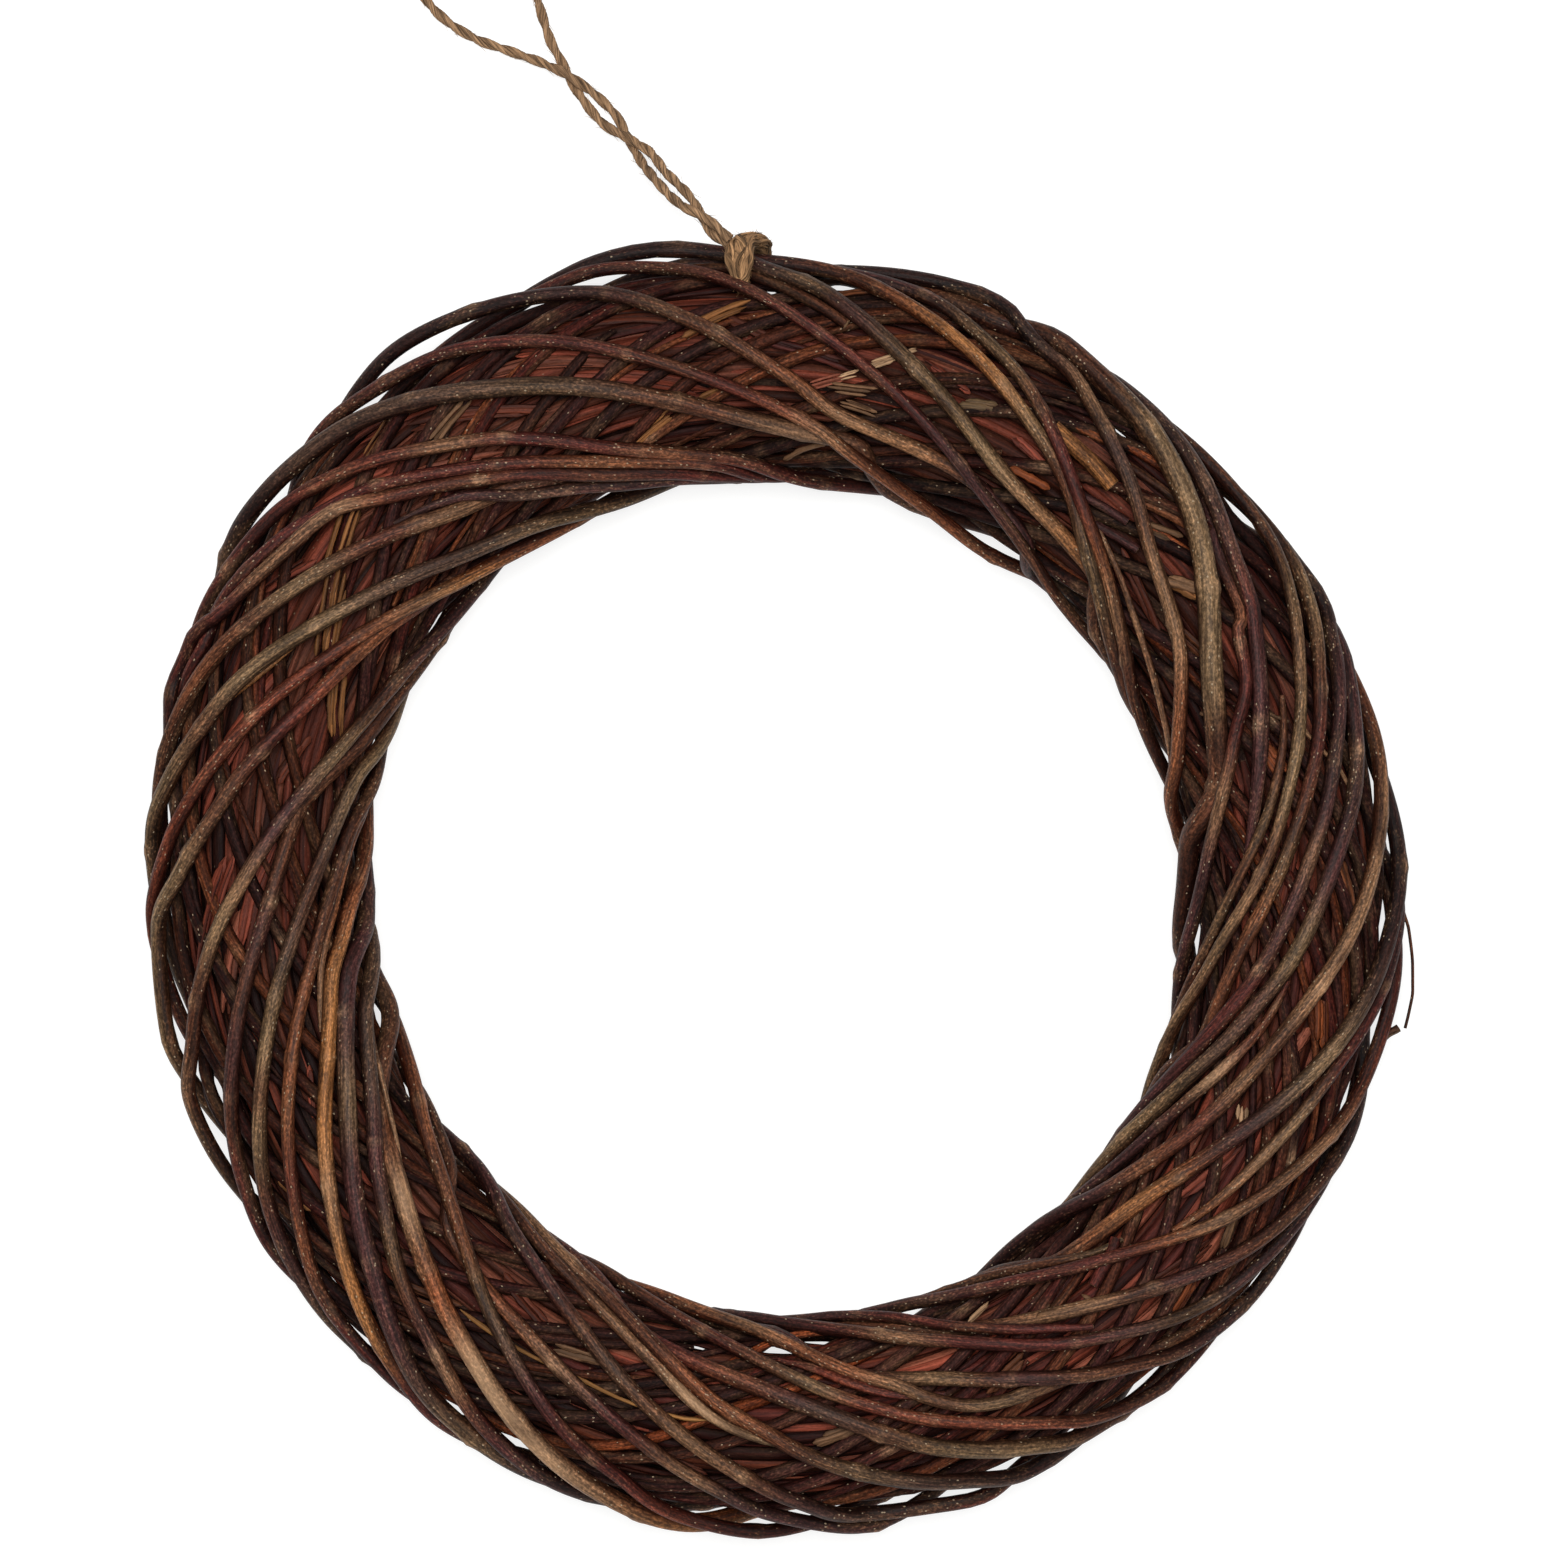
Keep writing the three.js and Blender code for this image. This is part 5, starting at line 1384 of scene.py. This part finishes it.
class WREATH_OT_loose_pieces(bpy.types.Operator):
    """Adds the split strips, straws, chips and stubs that are seen between the outer rods"""

    bl_idname = "wreath.loose_pieces"
    bl_label = "Add the loose pieces"

    def execute(self, context):
        colours = context.scene.wreath_colours
        finish = "split_and_peeled_willow"
        material = bark_material(finish, rough=0.55, lenticels=0.05, shine=0.12, specks=0.0)
        for index, (name, rows, slot, barked, shades) in enumerate(LOOSE_PIECES):
            rng = np.random.default_rng(400 + index)
            tubes = Tubes()
            for word, count, width, flat, spread, depth, places in rows:
                seat = tuple(half - depth for half in OUTER_SEAT)
                seen = np.array([seen_place(*place, 0, seat) for place in places])
                angle = np.degrees(np.unwrap(np.radians(seen[:, 0])))
                knots = np.linspace(0, 1, len(seen))
                torn = flat > 1.1
                for number in range(count):
                    low, high = rng.uniform(0, 0.22, 2) if count > 1 else (0, 0)
                    t = np.linspace(low, 1 - high, 3 * len(places) - 2)
                    across = spread * ((number + 0.5) / count - 0.5) + rng.normal(0, 0.12 * spread)
                    across = across + rng.normal(0, 0.3) * t
                    turn = np.interp(t, knots, seen[:, 1]) + across / (TURN * seat[0])
                    off = np.interp(t, knots, seen[:, 2]) + rng.uniform(-0.5, 0.5) + wander(rng, t, 1.5, 0.15)
                    spine = smooth_route(on_ring(np.interp(t, knots, angle), turn, seat, off), SPINE_STEP)
                    share = np.linspace(0, 1, len(spine))
                    # A torn piece narrows to its ends and is ragged, and a cut one is as wide all along
                    ends = np.full(len(share), 0.9)
                    if torn:
                        ends = 0.25 + rng.uniform(5, 16) * np.minimum(share, 1 - share)
                    ends = np.minimum(1, ends) * (1 + wander(rng, share, 0.45, 0.1 * torn))
                    section, _ = bark_section(rng, distances(spine), width / 2 / flat * ends, THIN_SIDES)
                    out = away_from_core(spine)
                    roll = rng.normal(0, 0.35)
                    side = np.cross(unit(np.gradient(spine, axis=0)), out)
                    out = math.cos(roll) * out + math.sin(roll) * side
                    tone = np.array([*getattr(colours, word), 1.0]) * rng.uniform(*shades)
                    tone[3] = barked if torn else 1
                    tones = np.repeat([tone], len(spine), 0)
                    start = 700 * rng.random()
                    tubes.add(spine, out, section, THIN_SIDES, tones, bare(colours), flat, start)
            tubes.piece(name, material, slot)
        return {"FINISHED"}


class WREATH_OT_outer_rods(bpy.types.Operator):
    """Makes the outer layer of rods"""

    bl_idname = "wreath.outer_rods"
    bl_label = "Add the outer rods"

    def execute(self, context):
        colours, sizes = context.scene.wreath_colours, context.scene.wreath_sizes
        material = bark_material("satin_willow_bark", rough=0.5, lenticels=0.35, shine=0.15, specks=0.5)
        rods, names, traced = [], [], []
        labels_per_turn = len(FRONT_RODS) * CURVE_CIRCUITS // CURVE_TURNS
        for number, curve, start, end, passing in layer_rods(len(FRONT_RODS), 1, outer_crossing):
            turn = np.linspace(start, end, round((end - start) * OUTER_STEPS))
            course = Course(colours)
            kept = np.zeros(len(turn), bool)
            rng = np.random.default_rng(200 + number)
            for whole in range(int(start) - 1, int(end) + 2):
                _, diameter, places = FRONT_RODS[(curve + labels_per_turn * whole) % len(FRONT_RODS)]
                seen = course.follow(places, diameter, whole, lambda t, passing=passing: passing("angle", t))
                kept |= (turn >= seen[0]) & (turn <= seen[1])
                course.rows.append((whole, 0, 0, *getattr(colours, rng.choice(BACK_TONES))))
            aside, lift, tone = course.at(turn)
            angle, diameter = passing("angle", turn) + aside, passing("diameter", turn)
            # At the back every rod reaches the floor
            lift += np.maximum(0, np.cos(turn * TURN)) ** 3 * (THICKEST - diameter)
            rods.append(Rod(rng, turn, angle, diameter, OUTER_SEAT, lift, tone, millimetres(sizes.sway)))
            names.append((f"outer_rod_bark_{number:02d}", f"outer_rod_{number:02d}"))
            traced.append(kept)
        for number, (crossing, diameter, places) in enumerate(ADDED_RODS, 1):
            def even(t, crossing=crossing):
                return crossing + SLOPE * (t - 0.5)

            course = Course(colours)
            first, last = course.follow(places, diameter, 0, even)
            start = first - (TUCK if places[0][1] > RIMS[0] else 0)
            end = last + (TUCK if places[-1][1] < RIMS[1] else 0)
            turn = np.linspace(start, end, max(8, round((end - start) * OUTER_STEPS)))
            aside, lift, tone = course.at(turn)
            angle, diameters = even(turn) + aside, np.full(len(turn), diameter)
            rng = np.random.default_rng(300 + number)
            rods.append(Rod(rng, turn, angle, diameters, OUTER_SEAT, lift, tone, ADDED_STRAY))
            names.append((f"added_rod_{number:02d}",))
        set_clear(rods, rounds=6)
        # The added rods are traced along their whole length, so only the others are moved off the slits
        for rod, kept in zip(rods, traced):
            open_slits(rod.spine, rod.radius, kept)
            rod.keep_above_floor()
        for index, (rod, name) in enumerate(zip(rods, names)):
            tubes = Tubes()
            rod.tube(tubes, OUTER_SIDES, bare(colours), index * 1700.0)
            tubes.piece(name[0], material, "outer_rods", *name[1:])
        return {"FINISHED"}


class WREATH_OT_stage(bpy.types.Operator):
    """Makes the pale floor and the soft studio light"""

    bl_idname = "wreath.stage"
    bl_label = "Add the floor and lights"

    def execute(self, context):
        scene = context.scene
        colours = scene.wreath_colours
        mesh = bpy.data.meshes.new("floor")
        half = metres(3000)
        drop = metres(-0.3)
        corners = [(-half, -half, drop), (half, -half, drop), (half, half, drop), (-half, half, drop)]
        mesh.from_pydata(corners, [], [(0, 1, 2, 3)])
        mesh.materials.append(floor_material("opal_acrylic", colours))
        floor = bpy.data.objects.new("floor", mesh)
        scene.collection.objects.link(floor)
        world = bpy.data.worlds.new("studio")
        world.use_nodes = True
        background = world.node_tree.nodes["Background"]
        background.inputs["Color"].default_value = (1, 1, 1, 1)
        background.inputs["Strength"].default_value = 0.1
        scene.world = world
        for name, place, size, power in (
            ("overhead_softbox", (0.0, 0.35, 2.6), 1.2, 77),
            ("left_softbox", (-1.6, 0.9, 1.5), 1.0, 6),
            ("front_softbox", (0.5, -1.7, 1.1), 1.0, 8),
        ):
            light = bpy.data.lights.new(name, "AREA")
            light.size = size
            light.energy = power
            lamp = bpy.data.objects.new(name, light)
            lamp.location = place
            towards = -lamp.location
            lamp.rotation_euler = towards.to_track_quat("-Z", "Y").to_euler()
            scene.collection.objects.link(lamp)
        # Colours are shown as they are, without a film curve
        scene.view_settings.view_transform = "Standard"
        return {"FINISHED"}


class WREATH_PT_sidebar(bpy.types.Panel):
    """Lists the wreath's pieces in the sidebar"""

    bl_idname = "WREATH_PT_sidebar"
    bl_label = "Wicker Wreath"
    bl_space_type = "VIEW_3D"
    bl_region_type = "UI"
    bl_category = "Wreath"

    def draw(self, context):
        for operator in OPERATORS:
            self.layout.operator(operator.bl_idname)
        for settings in (context.scene.wreath_sizes, context.scene.wreath_colours):
            column = self.layout.column()
            for name in type(settings).__annotations__:
                column.prop(settings, name)


OPERATORS = (
    WREATH_OT_view, WREATH_OT_cord, WREATH_OT_core, WREATH_OT_under_rods, WREATH_OT_switches,
    WREATH_OT_loose_pieces, WREATH_OT_outer_rods, WREATH_OT_stage,
)
CLASSES = (WreathColours, WreathSizes, *OPERATORS, WREATH_PT_sidebar)


def register():
    for each in CLASSES:
        bpy.utils.register_class(each)
    bpy.types.Scene.wreath_colours = bpy.props.PointerProperty(type=WreathColours)
    bpy.types.Scene.wreath_sizes = bpy.props.PointerProperty(type=WreathSizes)


def unregister():
    del bpy.types.Scene.wreath_sizes
    del bpy.types.Scene.wreath_colours
    for each in reversed(CLASSES):
        bpy.utils.unregister_class(each)


def main():
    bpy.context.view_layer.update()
    register()
    bpy.ops.wreath.view()
    bpy.ops.wreath.cord()
    bpy.ops.wreath.core()
    bpy.ops.wreath.under_rods()
    bpy.ops.wreath.switches()
    bpy.ops.wreath.loose_pieces()
    bpy.ops.wreath.outer_rods()
    bpy.ops.wreath.stage()


if __name__ == "__main__":
    main()
